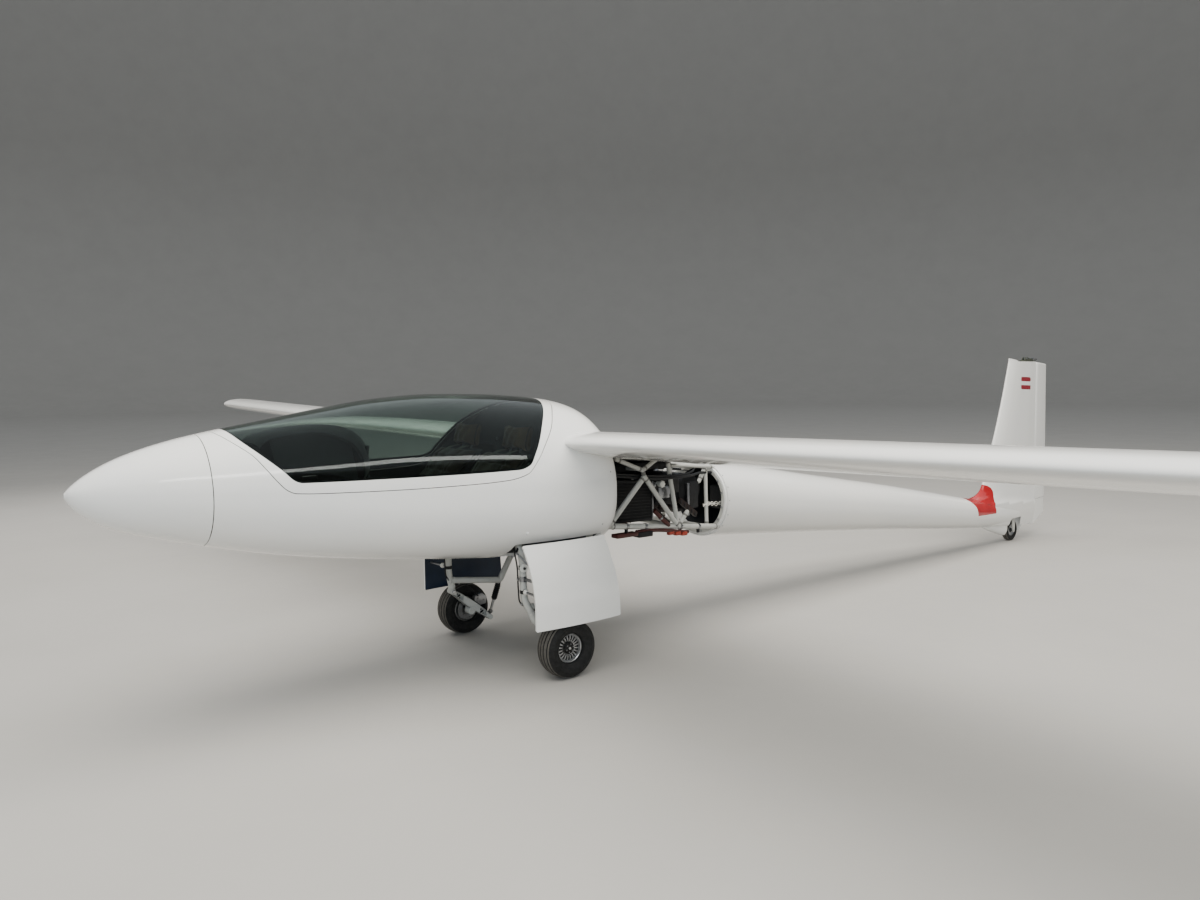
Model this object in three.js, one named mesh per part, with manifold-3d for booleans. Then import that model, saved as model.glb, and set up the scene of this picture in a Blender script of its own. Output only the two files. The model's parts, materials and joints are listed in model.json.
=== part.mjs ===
// Two-seat motor glider standing on its wheels, side cowls and tailplane off.
// Millimetres. Nose towards -Y, left wing towards +X, +Z up, ground at z = 0.
import * as THREE from 'three';
import { mergeVertices } from 'three/addons/utils/BufferGeometryUtils.js';
import Module from 'manifold-3d';

const wasm = await Module();
wasm.setup();

// ---------------------------------------------------------------- driving dimensions
const SIDES = 36;                 // points round a fuselage section
const SKIN = 22;                  // fuselage wall with its foam core
const GLASS = 8;                  // canopy glazing as modelled
const SEAM = 0.3;                 // gap between pieces that touch
const GAP = 5.5;                  // clearance of a moving piece
const SURFACE_GAP = 8;            // slot ahead of a flap nose
const CONE_SEAM_Y = -3680;        // nose cone joint
const BAY_FRONT_Y = -1620;        // rear edge of the front shell below the wing
const HUMP_END_Y = -1494;         // rear end of the front shell on top of the wing
const BOOM_FRONT_Y = -515;        // front rim of the tail boom
const HINGE_Y = 3978;             // rudder hinge line
const RUDDER_NOSE = 27;           // radius of the rudder's leading edge
const TAIL_Y = 4210;              // rudder trailing edge
const FIN_TOP = 1690;
const WHEEL = { x: 552, y: -2010, r: 158, w: 128, rim: 78 };
const TAIL_WHEEL = { y: 3572, r: 100, w: 60, rim: 52 };
const PANEL_JOINT_X = 5700;       // end of the centre section; the outer panels are off
const HINGE_CHORD = 0.83;         // flap hinge line
const PROP = { y: -3722, z: 1073, r: 205 };
const CANOPY_HINGE = { y: -3628, z: 1364 };

// ---------------------------------------------------------------- tables
// fuselage sections: y, top, bottom, half width, height of the widest point, exponent above, exponent below
const SECTION_COLUMNS = ['y', 'top', 'bottom', 'half', 'mid', 'nTop', 'nBottom'];
const FRONT_SECTIONS = table(SECTION_COLUMNS, [
  [-4208, 1112, 1086, 14, 1099, 2.0, 2.0],
  [-4190, 1134, 1052, 45, 1095, 2.0, 2.0],
  [-4130, 1184, 990, 100, 1090, 2.0, 2.0],
  [-4000, 1250, 924, 165, 1087, 2.0, 2.0],
  [-3800, 1312, 860, 240, 1080, 2.0, 2.0],
  [-3680, 1338, 826, 280, 1073, 2.0, 2.05],
  [-3400, 1386, 757, 365, 1052, 2.1, 2.15],
  [-3100, 1437, 702, 445, 1028, 2.15, 2.2],
  [-2800, 1482, 661, 510, 1002, 2.2, 2.3],
  [-2500, 1500, 626, 555, 982, 2.2, 2.35],
  [-2200, 1494, 598, 575, 968, 2.2, 2.4],
  [-1950, 1477, 585, 580, 960, 2.25, 2.4],
  [-1830, 1462, 590, 572, 956, 2.3, 2.4],
  [-1724, 1441, 595, 552, 952, 2.3, 2.4],
  [-1640, 1405, 600, 528, 948, 2.3, 2.4],
  [-1590, 1352, 600, 490, 945, 2.3, 2.4],
  [-1545, 1292, 600, 440, 940, 2.3, 2.4],
  [HUMP_END_Y, 1236, 600, 380, 940, 2.3, 2.4],
]);
const BOOM_SECTIONS = table(SECTION_COLUMNS, [
  [-900, 1080, 548, 325, 850, 2.1, 2.1],
  [-600, 1029, 520, 290, 790, 2.1, 2.1],
  [-200, 979, 486, 260, 730, 2.05, 2.05],
  [600, 847, 417, 228, 632, 2.0, 2.0],
  [1600, 684, 321, 185, 500, 2.0, 2.0],
  [2400, 542, 238, 150, 391, 2.0, 2.0],
  [3000, 440, 182, 122, 317, 2.0, 2.0],
  [3600, 400, 145, 78, 270, 2.0, 2.0],
  [3985, 370, 116, 30, 250, 2.0, 2.0],
]);
// canopy frame edge and glass edge seen from the side: y, z
const OUTLINE_COLUMNS = ['y', 'z'];
const FRAME_EDGE = table(OUTLINE_COLUMNS, [
  [-3622, 1349], [-3564, 1297], [-3506, 1243], [-3465, 1183], [-3420, 1119], [-3391, 1088], [-3353, 1071],
  [-3129, 1063], [-2835, 1060], [-2511, 1063], [-2355, 1069], [-2241, 1092], [-2163, 1159], [-2098, 1232],
  [-2026, 1305], [-1941, 1391], [-1852, 1448], [-1790, 1488],
]);
const GLASS_EDGE = table(OUTLINE_COLUMNS, [
  [-3572, 1360], [-3534, 1309], [-3469, 1243], [-3399, 1175], [-3352, 1127], [-3326, 1118], [-2930, 1116],
  [-2609, 1116], [-2287, 1118], [-2220, 1136], [-2164, 1203], [-2058, 1340], [-1974, 1415], [-1905, 1461], [-1860, 1491],
]);
// wing stations: distance from the centreline, leading edge y and z, chord, nose-up setting in degrees, thickness factor
const WING = table(['x', 'y', 'z', 'chord', 'pitch', 'thick'], [
  [0, -1976, 1224, 1030, 8.7, 1.0],
  [600, -1976, 1236, 1030, 8.7, 1.0],
  [PANEL_JOINT_X, -1958, 1341, 920, 8.2, 1.0],
]);
// wing section: part of the chord, upper and lower height as parts of the chord
const AEROFOIL = table(['c', 'up', 'low'], [
  [0, 0, 0], [0.012, 0.022, -0.014], [0.045, 0.044, -0.026], [0.11, 0.066, -0.036], [0.21, 0.083, -0.043],
  [0.34, 0.089, -0.045], [0.5, 0.083, -0.039], [0.65, 0.067, -0.024], [0.8, 0.043, -0.006],
  [0.9, 0.024, 0.001], [1.0, 0.0025, -0.0025],
]);
// hinged wing surfaces: name, inner and outer end
const SURFACES = table(['name', 'inner', 'outer'], [
  ['flap', 650, 5675],
]);
const AIRBRAKE = { inner: 3550, outer: 4950, at: 0.47, thick: 14, height: 88, sink: 3 };
// engine bay frame, left half: two ends and radius; every tube is mirrored
const TUBES = table(['ax', 'ay', 'az', 'bx', 'by', 'bz', 'r'], [
  [345, -2205, 800, 365, -1560, 730, 17],     // lower rail, over the wheel bay
  [365, -1560, 730, 197, -530, 600, 17],      // lower rail, aft part
  [366, -1560, 740, 352, -1289, 994, 16],     // large V, front leg
  [352, -1289, 994, 274, -950, 654, 15],      // large V, rear leg
  [274, -950, 654, 304, -1066, 1088, 14],     // upright behind the V
  [350, -1500, 1110, 350, -1300, 1032, 13],   // upper V, front leg
  [350, -1300, 1032, 335, -1165, 1098, 13],   // upper V, rear leg
  [302, -1060, 1044, 148, -530, 987, 11],     // upper side rail
  [274, -950, 654, 272, -872, 736, 14],       // stub strut
  [163, -605, 995, 211, -640, 614, 12],      // rear upright
  [163, -605, 995, 190, -690, 906, 13],      // rear short strut
  [350, -1300, 1032, 352, -1289, 994, 12],    // tie between the two V
]);
// cross tubes from side to side: half length, y, z, radius
const CROSS_TUBES = table(['x', 'y', 'z', 'r'], [
  [345, -2205, 800, 14], [365, -1560, 730, 15], [272, -950, 654, 14], [210, -640, 614, 11],
  [163, -605, 995, 10], [350, -1300, 1034, 10],
]);
// undercarriage leg, left: a U of tubes below the wheel bay
const LEG = table(['x', 'y', 'z'], [
  [352, -2205, 785], [404, -2182, 640], [413, -2179, 410], [438, -2146, 328],
]);
// lower tube of the leg, from the upright back and up to the rear of the bay
const LEG_REAR = table(['x', 'y', 'z'], [
  [415, -2168, 374], [425, -1815, 324], [406, -1726, 500], [366, -1712, 735],
]);
const ARM = { inner: 436, outer: 480, front: { y: -2138, z: 296 }, rear: { y: -1880, z: 98 } };
const FORK_AXIS_Y = 3560;

// ---------------------------------------------------------------- colours
const WHITE = 0xf1f0ea, TUBE_GREY = 0xc9c9c4, DARK = 0x1b1c1f;
const finish = (color, roughness, metalness, extra = {}) => new THREE.MeshStandardMaterial({ color, roughness, metalness, ...extra });

// ---------------------------------------------------------------- shape helpers
function table(columns, rows) {
  return rows.map(row => Object.fromEntries(columns.map((c, i) => [c, row[i]])));
}
const V = (x, y, z) => new THREE.Vector3(x, y, z);
const lerp = (a, b, t) => a + (b - a) * t;

function solid(geometry) {
  const g = geometry.clone();
  g.deleteAttribute('normal');
  if (g.attributes.uv) g.deleteAttribute('uv');
  const m = mergeVertices(g, 1e-3);
  return new wasm.Manifold(new wasm.Mesh({
    numProp: 3, vertProperties: new Float32Array(m.attributes.position.array), triVerts: new Uint32Array(m.index.array),
  }));
}

const group = new THREE.Group();
group.name = 'motor_glider';
function addNode(name, manifold, material) {
  const out = manifold.getMesh();
  const g = new THREE.BufferGeometry();
  g.setAttribute('position', new THREE.BufferAttribute(new Float32Array(out.vertProperties), 3));
  g.setIndex(new THREE.BufferAttribute(new Uint32Array(out.triVerts), 1));
  g.computeVertexNormals();
  const mesh = new THREE.Mesh(g, material);
  mesh.name = name;
  group.add(mesh);
  return mesh;
}
const mirrored = m => m.mirror([1, 0, 0]);
function addPair(name, manifold, material) {
  addNode(`${name}_left`, manifold, material);
  addNode(`${name}_right`, mirrored(manifold), material.clone());
}

// skin through a row of closed sections with the same number of points; the end sections are flat
function loft(rings, drop) {
  const n = rings[0].length, position = [], index = [];
  for (const ring of rings) for (const p of ring) position.push(p.x, p.y, p.z);
  for (let i = 0; i + 1 < rings.length; i++) for (let k = 0; k < n; k++) {
    const a = i * n + k, b = i * n + (k + 1) % n, c = a + n, d = b + n;
    index.push(a, b, d, a, d, c);
  }
  const flat = ring => ring.map(p => (drop === 'x' ? new THREE.Vector2(p.y, p.z) : drop === 'y' ? new THREE.Vector2(p.z, p.x) : new THREE.Vector2(p.x, p.y)));
  const cap = (ring, base, flip) => {
    const pts = flat(ring), way = Math.sign(THREE.ShapeUtils.area(pts));
    for (const [a, b, c] of THREE.ShapeUtils.triangulateShape(pts, [])) {
      const turn = Math.sign((pts[b].x - pts[a].x) * (pts[c].y - pts[a].y) - (pts[b].y - pts[a].y) * (pts[c].x - pts[a].x)) * way * flip;
      if (turn > 0) index.push(base + a, base + b, base + c); else index.push(base + a, base + c, base + b);
    }
  };
  cap(rings[0], 0, -1);
  cap(rings[rings.length - 1], (rings.length - 1) * n, 1);
  let volume = 0;
  const at = i => V(position[3 * i], position[3 * i + 1], position[3 * i + 2]);
  for (let i = 0; i < index.length; i += 3) volume += at(index[i]).dot(at(index[i + 1]).cross(at(index[i + 2])));
  if (volume < 0) for (let i = 0; i < index.length; i += 3) [index[i + 1], index[i + 2]] = [index[i + 2], index[i + 1]];
  const g = new THREE.BufferGeometry();
  g.setAttribute('position', new THREE.Float32BufferAttribute(position, 3));
  g.setIndex(index);
  return solid(g);
}

// section of a fuselage table at any station
function sectionAt(sections, y) {
  let i = 0;
  while (i + 2 < sections.length && sections[i + 1].y < y) i++;
  const a = sections[i], b = sections[i + 1], t = (y - a.y) / (b.y - a.y);
  return Object.fromEntries(SECTION_COLUMNS.map(c => [c, lerp(a[c], b[c], t)]));
}
function hullRing(s, inset) {
  const ring = [], power = (v, e) => Math.sign(v) * Math.abs(v) ** e;
  for (let k = 0; k < SIDES; k++) {
    const t = 2 * Math.PI * (k + 0.5) / SIDES, c = Math.cos(t), q = Math.sin(t), up = q > 0;
    const e = 2 / (up ? s.nTop : s.nBottom), h = (up ? s.top - s.mid : s.mid - s.bottom) - inset;
    ring.push(V((s.half - inset) * power(c, e), s.y, s.mid + h * power(q, e)));
  }
  return ring;
}
function hull(sections, from, to, inset) {
  const ys = [from, ...sections.map(s => s.y).filter(y => y > from + 1 && y < to - 1), to];
  return loft(ys.map(y => hullRing(sectionAt(sections, y), inset)), 'y');
}

function extrude(points, depth) {
  const shape = new THREE.Shape(points.map(([u, v]) => new THREE.Vector2(u, v)));
  return new THREE.ExtrudeGeometry(shape, { depth, bevelEnabled: false, curveSegments: 8 });
}
// outline in (y, z) carried across from x0 to x1
function sidePrism(points, x0, x1) {
  const g = extrude(points, x1 - x0);
  g.applyMatrix4(new THREE.Matrix4().makeBasis(V(0, 1, 0), V(0, 0, 1), V(1, 0, 0)));
  g.translate(x0, 0, 0);
  return solid(g);
}
// outline in (x, z) carried along from y0 to y1
function frontPrism(points, y0, y1) {
  const g = extrude(points, y1 - y0);
  g.applyMatrix4(new THREE.Matrix4().makeBasis(V(1, 0, 0), V(0, 0, 1), V(0, -1, 0)));
  g.translate(0, y1, 0);
  return solid(g);
}
// outline in (x, y) carried up from z0 to z1
function planPrism(points, z0, z1) {
  const g = extrude(points, z1 - z0);
  g.translate(0, 0, z0);
  return solid(g);
}
function box(x0, x1, y0, y1, z0, z1) {
  const g = new THREE.BoxGeometry(x1 - x0, y1 - y0, z1 - z0);
  g.translate((x0 + x1) / 2, (y0 + y1) / 2, (z0 + z1) / 2);
  return solid(g);
}
function rod(a, b, r, sides = 10) {
  const g = new THREE.CylinderGeometry(r, r, a.distanceTo(b), sides);
  g.applyQuaternion(new THREE.Quaternion().setFromUnitVectors(V(0, 1, 0), b.clone().sub(a).normalize()));
  const m = a.clone().add(b).multiplyScalar(0.5);
  g.translate(m.x, m.y, m.z);
  return solid(g);
}
function ball(p, r) {
  const g = new THREE.SphereGeometry(r, 6, 4);
  g.translate(p.x, p.y, p.z);
  return solid(g);
}
function pipe(points, r, sides = 8) {
  let out = rod(points[0], points[1], r, sides);
  for (let i = 1; i + 1 < points.length; i++) out = out.add(ball(points[i], r * 1.02)).add(rod(points[i], points[i + 1], r, sides));
  return out;
}
// profile in (radius, offset along the axle), turned about an axle parallel to X
function turnedX(profile, x, y, z, segments) {
  const g = new THREE.LatheGeometry(profile.map(([r, o]) => new THREE.Vector2(r, o)), segments);
  g.rotateZ(-Math.PI / 2);
  g.translate(x, y, z);
  let m = solid(g);
  return m;
}
// edge line offset along its own normal; a positive amount moves towards the closed (upper) side
function offsetEdge(edge, amount) {
  return edge.map((p, i) => {
    const a = edge[Math.max(0, i - 1)], b = edge[Math.min(edge.length - 1, i + 1)];
    const l = Math.hypot(b.y - a.y, b.z - a.z);
    return [p.y - (b.z - a.z) / l * amount, p.z + (b.y - a.y) / l * amount];
  });
}
// region above an edge line, seen from the side
function above(edge, amount) {
  const pts = offsetEdge(edge, amount);
  return sidePrism([...pts, [pts[pts.length - 1][0], 1800], [pts[0][0], 1800]], -800, 800);
}

// ---------------------------------------------------------------- wing
function wingStation(x) {
  let i = 0;
  while (i + 2 < WING.length && WING[i + 1].x < x) i++;
  const a = WING[i], b = WING[i + 1], t = (x - a.x) / (b.x - a.x);
  return Object.fromEntries(['x', 'y', 'z', 'chord', 'pitch', 'thick'].map(c => [c, lerp(a[c], b[c], t)]));
}
// point of a station: s along the chord, n above it
function onStation(st, s, n) {
  const a = -st.pitch * Math.PI / 180;
  return V(st.x, st.y + s * Math.cos(a) - n * Math.sin(a), st.z + s * Math.sin(a) + n * Math.cos(a));
}
function foilHeight(c, side) {
  let i = 0;
  while (i + 2 < AEROFOIL.length && AEROFOIL[i + 1].c < c) i++;
  const a = AEROFOIL[i], b = AEROFOIL[i + 1];
  return lerp(a[side], b[side], (c - a.c) / (b.c - a.c));
}
function foilRing(x, grow) {
  const st = wingStation(Math.abs(x));
  const up = AEROFOIL.map(p => onStation(st, p.c * st.chord + (p.c === 0 ? -grow : p.c === 1 ? grow : 0), p.up * st.thick * st.chord + (p.c === 0 ? 0 : grow)));
  const low = AEROFOIL.slice(1).map(p => onStation(st, p.c * st.chord + (p.c === 1 ? grow : 0), p.low * st.thick * st.chord - grow));
  const ring = [...up.reverse(), ...low];
  ring.forEach(p => { p.x = x; });
  return ring;
}
function wingPart(xs, grow = 0) {
  return loft(xs.map(x => foilRing(x, grow)), 'x');
}
// centre line and radius of a hinge at a station
function hingeAt(x) {
  const st = wingStation(x), s = HINGE_CHORD * st.chord;
  const up = foilHeight(HINGE_CHORD, 'up') * st.chord * st.thick, low = foilHeight(HINGE_CHORD, 'low') * st.chord * st.thick;
  return { st, s, n: (up + low) / 2, r: (up - low) / 2 };
}
function surfaceRing(x) {
  const { st, s, n, r } = hingeAt(x), ring = [];
  for (let k = 0; k <= 8; k++) {
    const t = Math.PI / 2 + Math.PI * k / 8;
    ring.push(onStation(st, s + r * Math.cos(t), n + r * Math.sin(t)));
  }
  for (const c of [0.9, 1.0]) ring.push(onStation(st, c * st.chord, foilHeight(c, 'low') * st.chord * st.thick));
  for (const c of [1.0, 0.9]) ring.push(onStation(st, c * st.chord, foilHeight(c, 'up') * st.chord * st.thick));
  return ring;
}
function surfaceCut(x) {
  const { st, s, n, r } = hingeAt(x), front = s - r - SURFACE_GAP;
  return [onStation(st, front, n - 90), onStation(st, st.chord + 60, n - 90), onStation(st, st.chord + 60, n + 90), onStation(st, front, n + 90)];
}
const inner = WING.map(w => w.x).filter(x => x < PANEL_JOINT_X);
let wingCentre = wingPart([-PANEL_JOINT_X + SEAM, -600, 0, 600, PANEL_JOINT_X - SEAM]);
const surfaceMaterial = finish(WHITE, 0.25, 0);
const surfaces = [];
for (const { name, inner: x0, outer: x1 } of SURFACES) {
  const stops = [x0, ...WING.map(w => w.x).filter(x => x > x0 + 1 && x < x1 - 1), x1];
  const cutStops = [x0 - GAP, ...stops.slice(1, -1), x1 + GAP];
  const cut = loft(cutStops.map(surfaceCut), 'x');
  wingCentre = wingCentre.subtract(cut).subtract(mirrored(cut));
  surfaces.push([name, loft(stops.map(surfaceRing), 'x')]);
}
// airbrake blade in a slot of the centre section
const brakeEnds = [AIRBRAKE.inner, AIRBRAKE.outer];
const brakeRing = (x, side, low, high) => {
  const st = wingStation(x), s = AIRBRAKE.at * st.chord, top = foilHeight(AIRBRAKE.at, 'up') * st.chord;
  return [[-side, low], [side, low], [side, high], [-side, high]].map(([ds, dn]) => onStation(st, s + ds, top + dn));
};
const airbrake = loft(brakeEnds.map(x => brakeRing(x, AIRBRAKE.thick / 2, -AIRBRAKE.sink - AIRBRAKE.height, -AIRBRAKE.sink)), 'x');
const brakeSlot = loft([AIRBRAKE.inner - GAP, AIRBRAKE.outer + GAP].map(x => brakeRing(x, AIRBRAKE.thick / 2 + GAP, -AIRBRAKE.sink - AIRBRAKE.height - GAP, 60)), 'x');
wingCentre = wingCentre.subtract(brakeSlot).subtract(mirrored(brakeSlot));
const wingRoot = wingPart([-1200, -600, 0, 600, 1200], 1.0);

// ---------------------------------------------------------------- front fuselage
const outer = hull(FRONT_SECTIONS, CONE_SEAM_Y, HUMP_END_Y, 0).subtract(box(-700, 700, BAY_FRONT_Y, -1300, 500, 1150));
const hollow = hull(FRONT_SECTIONS, CONE_SEAM_Y + SKIN, -1638, SKIN);
const bayMouth = hull(FRONT_SECTIONS, -1690, BAY_FRONT_Y + 10, SKIN).intersect(box(-700, 700, -1700, -1500, 500, 1140));
const shell = outer.subtract(hollow).subtract(bayMouth);
const inside = hull(FRONT_SECTIONS, CONE_SEAM_Y + SKIN + SEAM, -1640, SKIN + 0.8);
const bayOpening = box(150, 640, -2262, -1688, 500, 722);
let fuselage = shell.subtract(above(FRAME_EDGE, 0)).subtract(wingRoot).subtract(bayOpening).subtract(mirrored(bayOpening));
addNode('fuselage_front', fuselage, finish(WHITE, 0.25, 0));

const canopyRegion = above(FRAME_EDGE, GAP), glassRegion = above(GLASS_EDGE, 0);
const frameShell = outer.subtract(hull(FRONT_SECTIONS, CONE_SEAM_Y + SKIN, BAY_FRONT_Y + 5, SKIN - 2));
addNode('canopy_frame', frameShell.intersect(canopyRegion).subtract(glassRegion), finish(WHITE, 0.25, 0));
const glassShell = outer.subtract(hull(FRONT_SECTIONS, CONE_SEAM_Y + GLASS, BAY_FRONT_Y + 5, GLASS));
addNode('canopy_glass', glassShell.intersect(above(GLASS_EDGE, SEAM)), finish(0x9fb0a8, 0.05, 0, { transparent: true, opacity: 0.4 }));

// nose cone: a shell that slides forward off the folded propeller
const cone = hull(FRONT_SECTIONS, -4208, CONE_SEAM_Y - 3, 0).subtract(hull(FRONT_SECTIONS, -4165, CONE_SEAM_Y + 5, 8))
  .add(rod(V(0, -4210, 1099), V(0, -4160, 1099), 12, 12));
addNode('nose_cone', cone, finish(WHITE, 0.25, 0));

// folded propeller: hub, carrier bar and two curved blades in one plane
function bladeOutline(side) {
  const pts = [], a0 = side > 0 ? 12 : 192, sweep = 150;
  for (let k = 0; k <= 10; k++) { const t = (a0 + sweep * k / 10) * Math.PI / 180; pts.push([PROP.r * Math.cos(t), PROP.z + PROP.r * Math.sin(t)]); }
  for (let k = 10; k >= 0; k--) { const t = (a0 + sweep * k / 10) * Math.PI / 180, r = PROP.r - lerp(62, 34, k / 10); pts.push([r * Math.cos(t), PROP.z + r * Math.sin(t)]); }
  return pts;
}
const propeller = rod(V(0, -3800, PROP.z), V(0, CONE_SEAM_Y - GAP, PROP.z), 58, 20)
  .add(box(-190, 190, PROP.y - 14, PROP.y + 14, PROP.z - 30, PROP.z + 48))
  .add(frontPrism(bladeOutline(1), PROP.y - 9, PROP.y + 9)).add(frontPrism(bladeOutline(-1), PROP.y - 9, PROP.y + 9));
addNode('propeller', propeller, finish(0x2b2c2e, 0.4, 0));

// ---------------------------------------------------------------- cockpit
const floorLine = [[-3330, 772], [-2282, 772], [-2282, 888], [-1660, 888], [-1660, 876], [-2270, 876], [-2270, 760], [-3330, 760]];
addNode('cockpit_floor', sidePrism(floorLine, -700, 700).intersect(inside), finish(0x3a3c40, 0.8, 0));
const bulkheadLine = [[-2018, 889], [-2018, 1275], [-1958, 1424], [-1930, 1424], [-1990, 1275], [-1990, 889]];
const cabin = hull(FRONT_SECTIONS, CONE_SEAM_Y + SKIN + SEAM, BAY_FRONT_Y, SKIN + 6);
addNode('rear_bulkhead', sidePrism(bulkheadLine, -700, 700).intersect(cabin).subtract(wingRoot), finish(DARK, 0.8, 0));
const hoodLine = [[-3450, 1240], [-3450, 1312], [-3380, 1335], [-3210, 1358], [-3100, 1362], [-3010, 1350], [-2935, 1314], [-2896, 1270], [-2880, 1205], [-2884, 1140],
  [-2905, 1110], [-2930, 1112], [-2950, 1165], [-2975, 1160], [-3010, 950], [-3050, 945], [-3060, 1130], [-3400, 1160]];
const underGlass = hull(FRONT_SECTIONS, CONE_SEAM_Y + 60, BAY_FRONT_Y, 62);
addNode('instrument_panel', sidePrism(hoodLine, -400, 400).intersect(underGlass), finish(0x0e0f11, 0.7, 0));
addNode('centre_console', sidePrism([[-3320, 773], [-3320, 900], [-2960, 900], [-2760, 905], [-2620, 935], [-2150, 935], [-2150, 889], [-2285, 889], [-2285, 773]], -52, 52), finish(0x26282b, 0.7, 0));
const seatLine = [[-2930, 868], [-2910, 892], [-2550, 840], [-2460, 862], [-2200, 1185], [-2105, 1185], [-2395, 790], [-2490, 774], [-2910, 774]];
const seatSpace = hull(FRONT_SECTIONS, CONE_SEAM_Y + 60, BAY_FRONT_Y, SKIN + 8);
addPair('seat', sidePrism(seatLine, 62, 478).intersect(seatSpace), finish(0x77624a, 0.9, 0));
const headLine = [[-2185, 1185.3], [-2180, 1290], [-2145, 1335], [-2075, 1343], [-2042, 1312], [-2036, 1185.3]];
addPair('headrest', sidePrism(headLine, 160, 376), finish(0x8a7152, 0.9, 0));
addPair('control_stick', pipe([V(268, -2755, 905), V(268, -2730, 1010), V(268, -2755, 1085)], 11, 6)
  .add(rod(V(268, -2755, 866), V(268, -2755, 906), 26, 12)).subtract(sidePrism([[-2950, 700], [-2950, 898], [-2910, 892.6], [-2550, 840.6], [-2550, 700]], 100, 450)), finish(DARK, 0.5, 0));

// ---------------------------------------------------------------- engine bay
let frame = null;
for (const t of TUBES) {
  const a = V(t.ax, t.ay, t.az), b = V(t.bx, t.by, t.bz), run = b.clone().sub(a).normalize().multiplyScalar(t.r * 0.6);
  const piece = rod(a.sub(run), b.add(run), t.r, 6);
  const both = piece.add(mirrored(piece));
  frame = frame ? frame.add(both) : both;
}
for (const t of CROSS_TUBES) frame = frame.add(rod(V(-t.x, t.y, t.z), V(t.x, t.y, t.z), t.r, 6));
// flange ring in front of the boom rim
frame = frame.add(hull(BOOM_SECTIONS, BOOM_FRONT_Y - 22, BOOM_FRONT_Y - 1, 5).subtract(hull(BOOM_SECTIONS, BOOM_FRONT_Y - 40, BOOM_FRONT_Y + 5, 48)));
frame = frame.subtract(wingRoot);
addNode('bay_frame', frame, finish(TUBE_GREY, 0.45, 0.2));
const firewallCut = box(290, 420, BAY_FRONT_Y - 60, BAY_FRONT_Y + 20, 715, 800);
const firewall = box(-600, 600, -1657, -1645, 560, 1300).intersect(inside).subtract(firewallCut).subtract(mirrored(firewallCut)).subtract(wingPart([-1200, -600, 0, 600, 1200], 2));
addNode('firewall', keepLargest(firewall), finish(0x3a3d42, 0.6, 0.3));
addNode('engine', sidePrism([[-1430, 780], [-1430, 950], [-1340, 1014], [-960, 1014], [-880, 950], [-880, 800], [-960, 762], [-1380, 762]], -250, 250), finish(0x2a2b2d, 0.5, 0.5));
addPair('radiator', sidePrism([[-1500, 724], [-1500, 984], [-1172, 958], [-1172, 716]], 250, 300), finish(0x141516, 0.6, 0.3));

function keepLargest(m) {
  const parts = m.decompose().sort((a, b) => b.volume() - a.volume());
  return parts[0];
}

// ---------------------------------------------------------------- tail boom and fin, one moulding
let boom = hull(BOOM_SECTIONS, BOOM_FRONT_Y, HINGE_Y - 35, 0).subtract(hull(BOOM_SECTIONS, BOOM_FRONT_Y - 40, -90, 18));
// fin stations: z, leading edge y, half thickness
const FIN = table(['z', 'lead', 'half'], [[300, 2850, 60], [440, 2862, 56], [466, 2936, 56], [512, 3030, 57], [594, 3082, 56], [940, 3236, 50], [FIN_TOP, 3490, 38]]);
const FIN_END = HINGE_Y - RUDDER_NOSE - GAP - 1;
const finShape = [[0, 0], [0.02, 0.3], [0.08, 0.62], [0.2, 0.9], [0.38, 1], [0.7, 0.9], [1, 0.62]];
const finRing = f => {
  const side = s => finShape.map(([c, t]) => V(s * t * f.half, lerp(f.lead, FIN_END, c), f.z));
  return [...side(1), ...side(-1).slice(1).reverse()];
};
boom = boom.add(loft(FIN.map(finRing), 'z'));
// fairing in front of and behind the tail wheel
const FAIRING = table(['y', 'top', 'bottom', 'half'], [[3080, 260, 168, 10], [3200, 260, 134, 44], [3330, 260, 92, 58], [3452, 250, 56, 60], [3700, 240, 60, 46], [3770, 230, 84, 30], [3840, 220, 128, 10]]);
const fairing = loft(FAIRING.map(f => [V(-f.half, f.y, f.top), V(-f.half, f.y, lerp(f.bottom, f.top, 0.35)), V(-f.half * 0.62, f.y, lerp(f.bottom, f.top, 0.08)), V(0, f.y, f.bottom),
  V(f.half * 0.62, f.y, lerp(f.bottom, f.top, 0.08)), V(f.half, f.y, lerp(f.bottom, f.top, 0.35)), V(f.half, f.y, f.top)]), 'y');
boom = boom.add(fairing).subtract(rod(V(0, FORK_AXIS_Y, -10), V(0, FORK_AXIS_Y, 226), 128, 24));
addNode('tail_boom', boom, finish(WHITE, 0.25, 0));

// bare tailplane fitting on the fin
const FITTING_BASE = FIN_TOP + SEAM;
addNode('tailplane_fitting', box(-22, 22, 3720, 3930, FITTING_BASE, FITTING_BASE + 14)
  .add(box(-8, 8, 3745, 3905, FITTING_BASE + 10, FITTING_BASE + 44)).add(rod(V(-30, 3890, FITTING_BASE + 30), V(30, 3890, FITTING_BASE + 30), 9, 10)), finish(0x77796f, 0.4, 0.8));

// rudder
const rudderPlan = [];
for (let k = 0; k <= 10; k++) { const t = Math.PI + Math.PI * k / 10; rudderPlan.push([RUDDER_NOSE * Math.cos(t), HINGE_Y + RUDDER_NOSE * Math.sin(t)]); }
rudderPlan.push([2.5, TAIL_Y], [-2.5, TAIL_Y]);
const rudderSide = sidePrism([[3900, 100], [3956, 114], [TAIL_Y + 1, 214], [TAIL_Y + 1, 900], [4188, 1668], [3900, 1684]], -60, 60);
addNode('rudder', planPrism(rudderPlan, 60, 1720).intersect(rudderSide), finish(WHITE, 0.25, 0));

// ---------------------------------------------------------------- wing nodes
addNode('wing_centre', wingCentre, finish(WHITE, 0.25, 0));
for (const [name, m] of surfaces) addPair(name, m, surfaceMaterial.clone());
addPair('airbrake', airbrake, finish(0xd8d8d4, 0.4, 0));

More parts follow.
